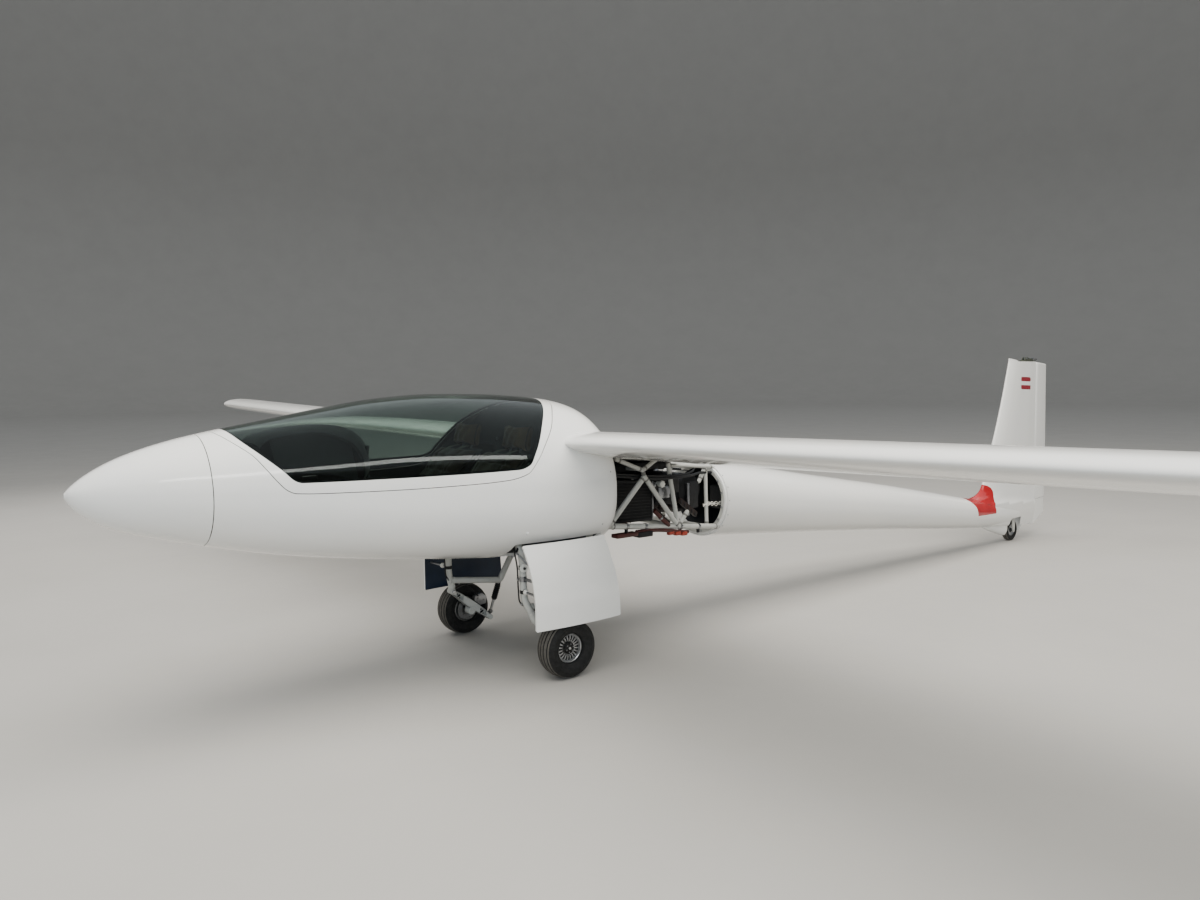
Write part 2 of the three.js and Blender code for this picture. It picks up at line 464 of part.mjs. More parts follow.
// ---------------------------------------------------------------- main undercarriage, left side and its mirror
const legPoints = rows => rows.map(p => V(p.x, p.y, p.z));
let leg = pipe(legPoints(LEG), 19, 8).add(pipe(legPoints(LEG_REAR), 19, 8)).add(rod(V(436, -2148, 332), V(458, -2136, 292), 21.5, 10));
for (const t of TUBES.slice(0, 2)) leg = leg.subtract(rod(V(t.ax, t.ay - 12, t.az + 1), V(t.bx, t.by, t.bz), t.r + 1.5, 12));
leg = keepLargest(leg.subtract(rod(V(-345, -2205, 800), V(352, -2205, 800), 14 + 1.5, 12)));
const door = (() => {
  // door plate: sections from top to bottom, outer face x
  const rows = table(['z', 'x', 'y0', 'y1'], [[728, 545, -2270, -1741], [640, 582, -2258, -1716], [520, 607, -2245, -1690], [400, 617, -2240, -1684], [290, 616, -2240, -1692]]);
  const bulge = (t, r) => 16 * (1 - (2 * t - 1) ** 2);
  return loft(rows.map(r => {
    const ring = [];
    for (let k = 0; k <= 6; k++) ring.push(V(r.x + bulge(k / 6), lerp(r.y0, r.y1, k / 6), r.z));
    for (let k = 6; k >= 0; k--) ring.push(V(r.x - 14 + bulge(k / 6), lerp(r.y0, r.y1, k / 6), r.z));
    return ring;
  }), 'z');
})();
// stays between the leg and the door
const stays = [[-2182, 524], [-1739, 474]].map(([y, z]) => rod(V(400, y, z), V(700, y, z), 9, 10));
addPair('gear_leg', stays.reduce((m, s) => m.add(keepLargest(s.subtract(door).subtract(box(560, 900, -2400, -1500, 200, 800)))), leg), finish(TUBE_GREY, 0.4, 0.2));
addPair('gear_door', door, finish(WHITE, 0.25, 0));

// trailing arm with axle, pivoted at the leg's foot
const armProfile = (() => {
  const { front: a, rear: b } = ARM, l = Math.hypot(b.y - a.y, b.z - a.z), u = [(b.y - a.y) / l, (b.z - a.z) / l], n = [-u[1], u[0]];
  const at = (s, h) => [a.y + u[0] * s + n[0] * h, a.z + u[1] * s + n[1] * h];
  return [at(-4, -14), at(l * 0.5, -25), at(l + 14, -15), at(l + 14, 15), at(l * 0.5, 25), at(-4, 14)];
})();
const arm = sidePrism(armProfile, ARM.inner, ARM.outer).subtract(rod(V(420, -2150, 322), V(500, -2150, 322), 30, 12)).subtract(leg)
  .add(rod(V(ARM.inner + 4, WHEEL.y, WHEEL.r), V(WHEEL.x + 30, WHEEL.y, WHEEL.r), 12, 16));
addPair('gear_arm', keepLargest(arm), finish(TUBE_GREY, 0.4, 0.2));
// shock strut from the rear corner to the arm's end
const strutTop = V(450, -1812, 300), strutFoot = V(458, -1868, 128);
const strutDir = strutFoot.clone().sub(strutTop).normalize();
const strut = rod(strutTop, strutTop.clone().addScaledVector(strutDir, 105), 20, 12).add(rod(strutTop, strutFoot, 9, 10));
addPair('shock_strut', keepLargest(strut.subtract(leg).subtract(arm)), finish(DARK, 0.4, 0.4));

// wheels: tyre section and hub section as (radius, offset)
function tyreProfile(w) {
  const h = w.w / 2, pts = [[w.rim, -h * 0.62], [w.rim + 8, -h * 0.8], [w.rim + (w.r - w.rim) * 0.45, -h], [w.r - 14, -h * 0.82], [w.r - 3, -h * 0.45], [w.r, 0]];
  const other = pts.slice(0, -1).reverse().map(([r, o]) => [r, -o]);
  return [...pts, ...other, pts[0]];
}
function hubProfile(w, bore, inner, outerSide) {
  return [[bore, inner], [w.rim * 0.45, inner], [w.rim * 0.62, inner * 0.55], [w.rim - 12, inner * 0.8], [w.rim - SEAM, inner * 0.9], [w.rim - SEAM, outerSide * 0.9], [w.rim - 10, outerSide * 0.8],
    [w.rim * 0.6, outerSide * 0.5], [w.rim * 0.42, outerSide * 0.95], [bore, outerSide * 0.95], [bore, inner]];
}
const tyre = turnedX(tyreProfile(WHEEL), WHEEL.x, WHEEL.y, WHEEL.r, 24);
addPair('main_tyre', tyre, finish(0x17181a, 0.85, 0));
const hub = turnedX(hubProfile(WHEEL, 12.6, -42, 34), WHEEL.x, WHEEL.y, WHEEL.r, 24);
addPair('main_hub', hub, finish(0xbfc1c4, 0.35, 0.7));
addPair('brake_caliper', sidePrism([[-1986, 216], [-1980, 244], [-1934, 250], [-1906, 226], [-1914, 190], [-1944, 186]], 440, 481), finish(0x9a9da1, 0.4, 0.7));

// ---------------------------------------------------------------- tail wheel
const tailTyre = turnedX(tyreProfile(TAIL_WHEEL), 0, TAIL_WHEEL.y, TAIL_WHEEL.r, 20);
addNode('tail_tyre', tailTyre, finish(0x17181a, 0.85, 0));
addNode('tail_hub', turnedX(hubProfile(TAIL_WHEEL, 8.6, -20, 20), 0, TAIL_WHEEL.y, TAIL_WHEEL.r, 20), finish(0xbfc1c4, 0.35, 0.7));
const forkSide = sidePrism([[TAIL_WHEEL.y - 16, TAIL_WHEEL.r - 18], [TAIL_WHEEL.y + 18, TAIL_WHEEL.r - 18], [TAIL_WHEEL.y + 20, 212], [TAIL_WHEEL.y - 40, 212]], 37, 45);
const fork = forkSide.add(mirrored(forkSide)).add(box(-45, 45, TAIL_WHEEL.y - 40, TAIL_WHEEL.y + 20, 206, 218))
  .add(rod(V(-44, TAIL_WHEEL.y, TAIL_WHEEL.r), V(44, TAIL_WHEEL.y, TAIL_WHEEL.r), 8, 14));
addNode('tail_fork', fork, finish(TUBE_GREY, 0.4, 0.3));

export default group;
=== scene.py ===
import bpy, bmesh, json, math, random
import numpy as np
from mathutils import Vector, Matrix

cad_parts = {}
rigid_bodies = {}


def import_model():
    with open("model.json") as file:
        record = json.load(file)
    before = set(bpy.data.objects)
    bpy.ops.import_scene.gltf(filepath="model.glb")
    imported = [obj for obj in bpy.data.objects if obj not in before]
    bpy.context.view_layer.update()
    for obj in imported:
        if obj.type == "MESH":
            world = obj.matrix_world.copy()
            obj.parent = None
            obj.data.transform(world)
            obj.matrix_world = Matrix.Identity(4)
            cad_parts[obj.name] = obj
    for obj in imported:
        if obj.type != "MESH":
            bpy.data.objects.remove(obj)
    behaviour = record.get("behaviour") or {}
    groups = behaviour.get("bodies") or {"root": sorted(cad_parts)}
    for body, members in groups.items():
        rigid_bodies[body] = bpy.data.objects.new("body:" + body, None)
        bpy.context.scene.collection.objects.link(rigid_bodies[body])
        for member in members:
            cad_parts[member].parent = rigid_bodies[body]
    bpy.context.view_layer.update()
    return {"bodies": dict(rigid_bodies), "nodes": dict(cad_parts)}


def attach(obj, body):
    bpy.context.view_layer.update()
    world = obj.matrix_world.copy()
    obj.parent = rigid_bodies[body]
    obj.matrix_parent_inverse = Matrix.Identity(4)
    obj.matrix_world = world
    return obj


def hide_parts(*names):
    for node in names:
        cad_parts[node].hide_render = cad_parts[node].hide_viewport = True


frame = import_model()
NODES, BODIES = frame["nodes"], frame["bodies"]

# ------------------------------------------------------------------ camera
CAM = Vector((4.4165, -4.7724, 1.575))
PITCH, ROLL = math.radians(4.499), math.radians(0.573)
heading = Vector((-0.78980, 0.61336, 0.0)).normalized()
ahead = heading * math.cos(PITCH) - Vector((0, 0, math.sin(PITCH)))
side0 = Vector((heading.y, -heading.x, 0.0))
up0 = side0.cross(ahead)
side = side0 * math.cos(ROLL) - up0 * math.sin(ROLL)
up = up0 * math.cos(ROLL) + side0 * math.sin(ROLL)
cam_data = bpy.data.cameras.new("view")
cam_data.sensor_width, cam_data.lens = 36.0, 27.45
cam_data.clip_start, cam_data.clip_end = 0.05, 200
cam = bpy.data.objects.new("view", cam_data)
m = Matrix.Identity(4)
for i in range(3):
    m[i][0], m[i][1], m[i][2], m[i][3] = side[i], up[i], -ahead[i], CAM[i]
cam.matrix_world = m
bpy.context.scene.collection.objects.link(cam)
bpy.context.scene.camera = cam


# ------------------------------------------------------------------ material kit
def srgb(h):
    c = [((h >> s) & 255) / 255 for s in (16, 8, 0)]
    return [x / 12.92 if x <= 0.04045 else ((x + 0.055) / 1.055) ** 2.4 for x in c]


class Mat:
    """A node material: a Principled shader with object-space helpers."""

    def __init__(self, name, color, rough=0.5, metal=0.0, **sockets):
        self.m = bpy.data.materials.new(name)
        self.m.use_nodes = True
        self.t = self.m.node_tree
        self.bsdf = self.t.nodes["Principled BSDF"]
        self.set("Base Color", (*color, 1.0))
        self.set("Roughness", rough)
        self.set("Metallic", metal)
        for k, v in sockets.items():
            self.set(k.replace("_", " "), v)
        self._co = None

    def set(self, socket, value):
        self.bsdf.inputs[socket].default_value = value

    def node(self, kind, **values):
        n = self.t.nodes.new(kind)
        for k, v in values.items():
            if k in n.inputs:
                n.inputs[k].default_value = v
            else:
                setattr(n, k, v)
        return n

    def link(self, a, b):
        self.t.links.new(a, b)

    @property
    def co(self):
        if self._co is None:
            self._co = self.node("ShaderNodeTexCoord").outputs["Object"]
        return self._co

    def scaled(self, scale):
        n = self.node("ShaderNodeMapping")
        n.inputs["Scale"].default_value = scale if hasattr(scale, "__len__") else (scale,) * 3
        self.link(self.co, n.inputs["Vector"])
        return n.outputs["Vector"]

    def noise(self, scale, detail=3.0, rough=0.5, stretch=None):
        n = self.node("ShaderNodeTexNoise", Detail=detail, Roughness=rough, Scale=scale)
        self.link(self.scaled(stretch) if stretch else self.co, n.inputs["Vector"])
        return n.outputs["Fac"]

    def ramp(self, fac, stops, mode="LINEAR"):
        n = self.node("ShaderNodeValToRGB")
        e = n.color_ramp.elements
        n.color_ramp.interpolation = mode
        while len(e) < len(stops):
            e.new(0.5)
        for el, (p, c) in zip(e, stops):
            el.position = p
            el.color = (*c, 1.0) if hasattr(c, "__len__") else (c, c, c, 1.0)
        self.link(fac, n.inputs["Fac"])
        return n.outputs["Color"]

    def math(self, op, a, b=None, clamp=False):
        n = self.node("ShaderNodeMath", operation=op, use_clamp=clamp)
        for k, v in enumerate((a, b)):
            if v is None:
                continue
            if isinstance(v, (int, float)):
                n.inputs[k].default_value = v
            else:
                self.link(v, n.inputs[k])
        return n.outputs[0]

    def mix(self, fac, a, b, blend="MIX"):
        n = self.node("ShaderNodeMix", data_type="RGBA", blend_type=blend)
        for k, v in ((0, fac), (6, a), (7, b)):
            if isinstance(v, (int, float)):
                n.inputs[k].default_value = v
            elif hasattr(v, "__len__"):
                n.inputs[k].default_value = (*v, 1.0)
            else:
                self.link(v, n.inputs[k])
        return n.outputs[2]

    def color(self, out):
        self.link(out, self.bsdf.inputs["Base Color"])
        return self

    def rough(self, out):
        self.link(out, self.bsdf.inputs["Roughness"])
        return self

    def bump(self, height, strength=0.2, distance=0.001):
        n = self.node("ShaderNodeBump", Strength=strength, Distance=distance)
        self.link(height, n.inputs["Height"])
        old = self.bsdf.inputs["Normal"].links
        if old:
            self.link(old[0].from_socket, n.inputs["Normal"])
        self.link(n.outputs["Normal"], self.bsdf.inputs["Normal"])
        return self


def varied(name, color, rough, metal=0.0, spread=0.12, scale=6.0, rough_spread=0.15, bump=None, fine=None, **sockets):
    """Colour and roughness that drift over the surface, with optional bump (scale, strength, distance)."""
    a = Mat(name, color, rough, metal, **sockets)
    n = a.noise(scale, 4.0, 0.6)
    lo, hi = [max(0.0, c * (1 - spread)) for c in color], [min(1.0, c * (1 + spread)) for c in color]
    a.color(a.ramp(n, [(0.25, lo), (0.75, hi)]))
    n2 = a.noise(scale * 2.7, 5.0, 0.65)
    a.rough(a.ramp(n2, [(0.3, max(0.02, rough - rough_spread / 2)), (0.7, min(1.0, rough + rough_spread / 2))]))
    if bump:
        a.bump(a.noise(bump[0], 3.0, 0.6), bump[1], bump[2])
    return a


# ------------------------------------------------------------------ mesh kit
def link_mesh(name, verts, faces, mats, face_mat=None, normals=None, smooth=True, body="airframe", replaces=(), slot=None):
    me = bpy.data.meshes.new(name)
    me.from_pydata([tuple(v) for v in verts], [], [tuple(f) for f in faces])
    for mt in mats:
        me.materials.append(mt.m if isinstance(mt, Mat) else mt)
    if face_mat is not None:
        me.polygons.foreach_set("material_index", np.asarray(face_mat, np.int32))
    flags = smooth if hasattr(smooth, "__len__") else [smooth] * len(faces)
    me.polygons.foreach_set("use_smooth", np.asarray(flags, bool))
    me.update()
    if normals is not None:
        loops = []
        for poly in me.polygons:
            for vi in poly.vertices:
                n = normals.get((poly.index, vi)) if isinstance(normals, dict) else normals[vi]
                loops.append(tuple(n) if (n is not None and poly.use_smooth) else tuple(poly.normal))
        me.normals_split_custom_set(loops)
    ob = bpy.data.objects.new(name, me)
    bpy.context.scene.collection.objects.link(ob)
    return place(ob, body, replaces)


def place(ob, body="airframe", replaces=()):
    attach(ob, body)
    if replaces:
        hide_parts(*([replaces] if isinstance(replaces, str) else replaces))
    return ob


class Soup:
    """Collects many small shapes into one mesh; each shape has its material index and shading."""

    def __init__(self, *mats):
        self.v, self.f, self.mi, self.sm, self.mats = [], [], [], [], list(mats)

    def add(self, verts, faces, mat=0, smooth=True):
        base = len(self.v)
        self.v += [tuple(p) for p in verts]
        self.f += [tuple(base + i for i in f) for f in faces]
        self.mi += [mat] * len(faces)
        self.sm += (list(smooth) if hasattr(smooth, "__len__") else [smooth] * len(faces))
        return self

    def tube(self, pts, r, sides=16, mat=0, caps=True, closed=False):
        pts = [Vector(p) for p in pts]
        n = len(pts)
        rad = r if hasattr(r, "__len__") else [r] * n
        tang = []
        for i in range(n):
            a = pts[(i - 1) % n] if (closed or i > 0) else pts[i]
            b = pts[(i + 1) % n] if (closed or i < n - 1) else pts[i]
            t = (b - a)
            tang.append(t.normalized() if t.length > 1e-9 else Vector((0, 0, 1)))
        ref = Vector((0, 0, 1)) if abs(tang[0].z) < 0.9 else Vector((1, 0, 0))
        u = tang[0].cross(ref).normalized()
        verts, faces = [], []
        for i in range(n):
            u = (u - tang[i] * u.dot(tang[i])).normalized()
            w = tang[i].cross(u)
            for k in range(sides):
                a = 2 * math.pi * k / sides
                verts.append(pts[i] + (u * math.cos(a) + w * math.sin(a)) * rad[i])
        rings = n if closed else n - 1
        for i in range(rings):
            j = (i + 1) % n
            for k in range(sides):
                l = (k + 1) % sides
                faces.append((i * sides + k, i * sides + l, j * sides + l, j * sides + k))
        flags = [True] * len(faces)
        if caps and not closed:
            faces.append(tuple(reversed(range(sides))))
            faces.append(tuple((n - 1) * sides + k for k in range(sides)))
            flags += [False, False]
        return self.add(verts, faces, mat, flags)

    def rod(self, a, b, r, sides=16, mat=0, bevel=0.0):
        a, b = Vector(a), Vector(b)
        if bevel:
            d = (b - a).normalized() * bevel
            return self.tube([a, a + d * 0.3, a + d, b - d, b - d * 0.3, b], [r - bevel, r - bevel * 0.3, r, r, r - bevel * 0.3, r - bevel], sides, mat)
        return self.tube([a, b], r, sides, mat)

    def turn(self, profile, origin, axis, sides=32, mat=0, closed=False, mats=None, arc=None, sharp=()):
        """profile of (radius, offset along axis) turned about axis through origin."""
        o, ax = Vector(origin), Vector(axis).normalized()
        ref = Vector((0, 0, 1)) if abs(ax.z) < 0.9 else Vector((1, 0, 0))
        u = ax.cross(ref).normalized()
        w = ax.cross(u)
        n = len(profile)
        a0, a1 = arc if arc else (0.0, 2 * math.pi)
        cols = sides if not arc else sides + 1
        verts, faces, fm = [], [], []
        for k in range(cols):
            a = a0 + (a1 - a0) * k / sides
            d = u * math.cos(a) + w * math.sin(a)
            for r, s in profile:
                verts.append(o + ax * s + d * r)
        segs = n if closed else n - 1
        for k in range(sides):
            l = (k + 1) % cols
            for i in range(segs):
                j = (i + 1) % n
                faces.append((k * n + i, l * n + i, l * n + j, k * n + j))
                fm.append(mats[i] if mats else mat)
        base = len(self.v)
        self.v += [tuple(p) for p in verts]
        for f, q in zip(faces, fm):
            pts = [verts[i] for i in f]
            keep = []
            for i, p in zip(f, pts):
                if all((p - verts[j]).length > 1e-7 for j in keep):
                    keep.append(i)
            if len(keep) < 3:
                continue
            self.f.append(tuple(base + i for i in keep))
            self.mi.append(q)
            self.sm.append(True)
        return self

    def box(self, lo, hi, mat=0, bevel=0.0, matrix=None):
        lo, hi = Vector(lo), Vector(hi)
        bm = bmesh.new()
        bmesh.ops.create_cube(bm, size=1.0)
        for v in bm.verts:
            v.co = Vector([(lo[i] + hi[i]) / 2 + v.co[i] * (hi[i] - lo[i]) for i in range(3)])
        if bevel:
            bmesh.ops.bevel(bm, geom=list(bm.edges), offset=min(bevel, 0.45 * min(hi[i] - lo[i] for i in range(3))), segments=2, profile=0.6, affect="EDGES")
        if matrix is not None:
            bmesh.ops.transform(bm, matrix=matrix, verts=bm.verts)
        bm.verts.index_update()
        self.add([v.co.copy() for v in bm.verts], [[v.index for v in f.verts] for f in bm.faces], mat, bool(bevel))
        bm.free()
        return self

    def prism(self, pts, extrude, mat=0, bevel=0.0):
        """closed polygon of 3-D points swept by the vector extrude."""
        bm = bmesh.new()
        vs = [bm.verts.new(Vector(p)) for p in pts]
        f = bm.faces.new(vs)
        r = bmesh.ops.extrude_face_region(bm, geom=[f])
        bmesh.ops.translate(bm, vec=Vector(extrude), verts=[g for g in r["geom"] if isinstance(g, bmesh.types.BMVert)])
        bmesh.ops.recalc_face_normals(bm, faces=bm.faces)
        if bevel:
            bmesh.ops.bevel(bm, geom=list(bm.edges), offset=bevel, segments=2, profile=0.6, affect="EDGES")
        bm.verts.index_update()
        self.add([v.co.copy() for v in bm.verts], [[v.index for v in f.verts] for f in bm.faces], mat, bool(bevel))
        bm.free()
        return self

    def mirror(self):
        out = Soup(*self.mats)
        out.v = [(-x, y, z) for x, y, z in self.v]
        out.f = [tuple(reversed(f)) for f in self.f]
        out.mi, out.sm = list(self.mi), list(self.sm)
        return out

    def make(self, name, body="airframe", replaces=(), slot=None, angle=35):
        ob = link_mesh(name, self.v, self.f, self.mats, self.mi, None, self.sm, body, replaces, slot)
        me = ob.data
        bm = bmesh.new()
        bm.from_mesh(me)
        lim = math.radians(angle)
        for e in bm.edges:
            if len(e.link_faces) == 2:
                try:
                    e.smooth = e.calc_face_angle() < lim
                except ValueError:
                    pass
        bm.to_mesh(me)
        bm.free()
        return ob


def both(soup, name, body, replaces, slot=None, angle=35):
    """The piece on the left and its mirror on the right; {} stands for the side."""
    out = []
    for sd, s in (("left", soup), ("right", soup.mirror())):
        out.append(s.make(name.format(sd), body.format(sd), tuple(r.format(sd) for r in replaces), slot, angle))
    return out


def pchip(xs, ys):
    xs, ys = np.asarray(xs, float), np.asarray(ys, float)
    h, d = np.diff(xs), np.diff(ys) / np.diff(xs)
    mslope = np.zeros(len(xs))
    for i in range(1, len(xs) - 1):
        if d[i - 1] * d[i] > 0:
            w1, w2 = 2 * h[i] + h[i - 1], h[i] + 2 * h[i - 1]
            mslope[i] = (w1 + w2) / (w1 / d[i - 1] + w2 / d[i])
    mslope[0], mslope[-1] = d[0], d[-1]

    def f(x):
        x = np.asarray(x, float)
        i = np.clip(np.searchsorted(xs, x, side="right") - 1, 0, len(xs) - 2)
        t = (x - xs[i]) / h[i]
        t2, t3 = t * t, t * t * t
        return (2 * t3 - 3 * t2 + 1) * ys[i] + (t3 - 2 * t2 + t) * h[i] * mslope[i] + (-2 * t3 + 3 * t2) * ys[i + 1] + (t3 - t2) * h[i] * mslope[i + 1]

    return f


def fair(xs, ys, sigma=0.06, hold=0.12):
    """A smooth curve through a table: monotone cubic, then averaged over sigma except near the first end."""
    f = pchip(xs, ys)
    g = np.arange(xs[0], xs[-1] + 0.005, 0.01)
    v = f(np.clip(g, xs[0], xs[-1]))
    k = np.arange(-3 * sigma, 3 * sigma + 0.005, 0.01)
    w = np.exp(-0.5 * (k / sigma) ** 2)
    w /= w.sum()
    pad = len(k) // 2
    ext = np.concatenate([v[0] + (np.arange(-pad, 0)) * (v[1] - v[0]), v, v[-1] + np.arange(1, pad + 1) * (v[-1] - v[-2])])
    sm = np.convolve(ext, w, "valid")[: len(v)]
    mixw = np.clip((g - xs[0]) / hold, 0, 1) if hold else np.ones(len(g))
    out = v * (1 - mixw) + sm * mixw
    return lambda x: np.interp(x, g, out)


class Surf:
    """A parametric skin: func(u, v) gives points; grid faces may be clipped by fields of the point, then thickened."""

    def __init__(self, func, us, vs):
        self.func = func
        self.P = np.array([(u, v) for u in us for v in vs], float)
        nv = len(vs)
        self.F = [[i * nv + j, i * nv + j + 1, (i + 1) * nv + j + 1, (i + 1) * nv + j] for i in range(len(us) - 1) for j in range(nv - 1)]
        self.M = [0] * len(self.F)

    def points(self, P=None):
        P = self.P if P is None else P
        return self.func(P[:, 0], P[:, 1])

    def clip(self, field, keep=True, paint=None, where=None):
        """Cuts every face along field = 0. keep drops what is below 0; paint gives that material index to what is above 0 instead.
        where limits painting to faces of the given material indexes."""
        P, F, M = self.P, [], []
        val = field(self.points())
        val = np.where(np.abs(val) < 1e-9, 1e-9, val)
        pairs = {}
        for f in self.F:
            for k in range(len(f)):
                i, j = f[k], f[(k + 1) % len(f)]
                if (val[i] > 0) != (val[j] > 0):
                    pairs.setdefault((i, j) if i < j else (j, i), len(P) + len(pairs))
        if pairs:
            e = np.array(list(pairs))
            a, b = P[e[:, 0]].copy(), P[e[:, 1]].copy()
            fa, fb = val[e[:, 0]].copy(), val[e[:, 1]].copy()
            for step in range(9):
                t = np.clip(fa / (fa - fb), 0.03, 0.97) if step % 3 < 2 else np.full(len(e), 0.5)
                mid = a + (b - a) * t[:, None]
                fm = field(self.func(mid[:, 0], mid[:, 1]))
                same = (fm > 0) == (fa > 0)
                a = np.where(same[:, None], mid, a)
                fa = np.where(same, fm, fa)
                b = np.where(same[:, None], b, mid)
                fb = np.where(same, fb, fm)
            new = np.concatenate([P, (a + b) / 2])
        else:
            new = P

        def cross(i, j):
            return pairs[(i, j) if i < j else (j, i)]

        for f, mt in zip(self.F, self.M):
            s = [val[i] > 0 for i in f]
            can = where is None or mt in where
            if all(s):
                F.append(f)
                M.append(paint if (paint is not None and can) else mt)
                continue
            if not any(s):
                if paint is not None or not keep:
                    F.append(f)
                    M.append(mt)
                continue
            if paint is not None and not can:
                F.append(f)
                M.append(mt)
                continue
            up_, dn = [], []
            for k in range(len(f)):
                i, j = f[k], f[(k + 1) % len(f)]
                (up_ if s[k] else dn).append(i)
                if s[k] != s[(k + 1) % len(f)]:
                    c = cross(i, j)
                    up_.append(c)
                    dn.append(c)
            if len(up_) >= 3:
                F.append(up_)
                M.append(paint if paint is not None else mt)
            if paint is not None and len(dn) >= 3:
                F.append(dn)
                M.append(mt)
        self.P, self.F, self.M = new, F, M
        return self

    def normals(self, pts, e=2e-4):
        P = self.P
        du = self.func(P[:, 0] + e, P[:, 1]) - self.func(P[:, 0] - e, P[:, 1])
        dv = self.func(P[:, 0], P[:, 1] + e) - self.func(P[:, 0], P[:, 1] - e)
        n = np.cross(du, dv)
        l = np.linalg.norm(n, axis=1)
        l[l < 1e-12] = 1
        return n / l[:, None]

    def build(self, name, mats, thick=None, flip=False, inner_mat=None, rim_mat=None, weld=1e-6, **kw):
        pts = self.points()
        nrm = self.normals(pts) * (-1 if flip else 1)
        # weld coincident points of the outer skin
        key, remap, keepers = {}, np.zeros(len(pts), int), []
        for i, p in enumerate(np.round(pts / max(weld, 1e-7)).astype(np.int64)):
            k = tuple(p)
            if k not in key:
                key[k] = len(keepers)
                keepers.append(i)
            remap[i] = key[k]
        pts, nrm = pts[keepers], nrm[keepers]
        F, M = [], []
        for f, mt in zip(self.F, self.M):
            g = []
            for i in f:
                r = int(remap[i])
                if not g or (g[-1] != r and r != g[0]):
                    g.append(r)
            if len(g) >= 3:
                F.append(tuple(g) if not flip else tuple(reversed(g)))
                M.append(mt)
        used = sorted({i for f in F for i in f})
        back = {i: k for k, i in enumerate(used)}
        pts, nrm = pts[used], nrm[used]
        F = [tuple(back[i] for i in f) for f in F]
        # make faces agree with the normals
        c = 0
        for f in F[:: max(1, len(F) // 200)]:
            a, b, d = pts[f[0]], pts[f[1]], pts[f[2]]
            c += 1 if np.dot(np.cross(b - a, d - a), nrm[f[0]]) > 0 else -1
        if c < 0:
            F = [tuple(reversed(f)) for f in F]
        V = list(pts)
        N = {}
        for k, f in enumerate(F):
            for i in f:
                N[(k, i)] = nrm[i]
        faces, fm, sm = list(F), list(M), [True] * len(F)
        if thick:
            n0 = len(V)
            V += list(pts - nrm * thick)
            edge = {}
            for f in F:
                for k in range(len(f)):
                    e = (f[k], f[(k + 1) % len(f)])
                    edge[e] = edge.get(e, 0) + 1
            for k, f in enumerate(F):
                faces.append(tuple(n0 + i for i in reversed(f)))
                fm.append(inner_mat if inner_mat is not None else M[k])
                sm.append(True)
                for i in f:
                    N[(len(faces) - 1, n0 + i)] = -nrm[i]
            for (a, b) in edge:
                if (b, a) not in edge:
                    faces.append((b, a, n0 + a, n0 + b))
                    fm.append(rim_mat if rim_mat is not None else 0)
                    sm.append(False)
        return link_mesh(name, V, faces, mats, fm, N, sm, **kw)


# ------------------------------------------------------------------ tables of the shape (metres)
FRONT = np.array([
    [-4.208, 1.112, 1.086, 0.014, 1.099, 2.0, 2.0], [-4.190, 1.134, 1.052, 0.045, 1.095, 2.0, 2.0], [-4.130, 1.184, 0.990, 0.100, 1.090, 2.0, 2.0],
    [-4.000, 1.250, 0.924, 0.165, 1.087, 2.0, 2.0], [-3.800, 1.312, 0.860, 0.240, 1.080, 2.0, 2.0], [-3.680, 1.338, 0.826, 0.280, 1.073, 2.0, 2.05],
    [-3.400, 1.386, 0.757, 0.365, 1.052, 2.1, 2.15], [-3.100, 1.437, 0.702, 0.445, 1.028, 2.15, 2.2], [-2.800, 1.482, 0.661, 0.510, 1.002, 2.2, 2.3],
    [-2.500, 1.500, 0.626, 0.555, 0.982, 2.2, 2.35], [-2.200, 1.494, 0.598, 0.575, 0.968, 2.2, 2.4], [-1.950, 1.477, 0.585, 0.580, 0.960, 2.25, 2.4],
    [-1.830, 1.462, 0.590, 0.572, 0.956, 2.3, 2.4], [-1.724, 1.441, 0.595, 0.552, 0.952, 2.3, 2.4], [-1.640, 1.405, 0.600, 0.528, 0.948, 2.3, 2.4],
    [-1.590, 1.352, 0.600, 0.490, 0.945, 2.3, 2.4], [-1.545, 1.292, 0.600, 0.440, 0.940, 2.3, 2.4], [-1.494, 1.236, 0.600, 0.380, 0.940, 2.3, 2.4]])
BOOM = np.array([
    [-0.900, 1.080, 0.548, 0.325, 0.850, 2.1, 2.1], [-0.600, 1.029, 0.520, 0.290, 0.790, 2.1, 2.1], [-0.200, 0.979, 0.486, 0.260, 0.730, 2.05, 2.05],
    [0.600, 0.847, 0.417, 0.228, 0.632, 2.0, 2.0], [1.600, 0.684, 0.321, 0.185, 0.500, 2.0, 2.0], [2.400, 0.542, 0.238, 0.150, 0.391, 2.0, 2.0],
    [3.000, 0.440, 0.182, 0.122, 0.317, 2.0, 2.0], [3.600, 0.400, 0.145, 0.078, 0.270, 2.0, 2.0], [3.985, 0.370, 0.116, 0.030, 0.250, 2.0, 2.0]])
FRAME_EDGE = [(-3.622, 1.349), (-3.564, 1.297), (-3.506, 1.243), (-3.465, 1.183), (-3.420, 1.119), (-3.391, 1.088), (-3.353, 1.071), (-3.129, 1.063), (-2.835, 1.060),
              (-2.511, 1.063), (-2.355, 1.069), (-2.241, 1.092), (-2.163, 1.159), (-2.098, 1.232), (-2.026, 1.305), (-1.941, 1.391), (-1.852, 1.448), (-1.790, 1.488)]
GLASS_EDGE = [(-3.572, 1.360), (-3.534, 1.309), (-3.469, 1.243), (-3.399, 1.175), (-3.352, 1.127), (-3.326, 1.118), (-2.930, 1.116),
              (-2.609, 1.116), (-2.287, 1.118), (-2.220, 1.136), (-2.164, 1.203), (-2.058, 1.340), (-1.974, 1.415), (-1.905, 1.461), (-1.860, 1.491)]
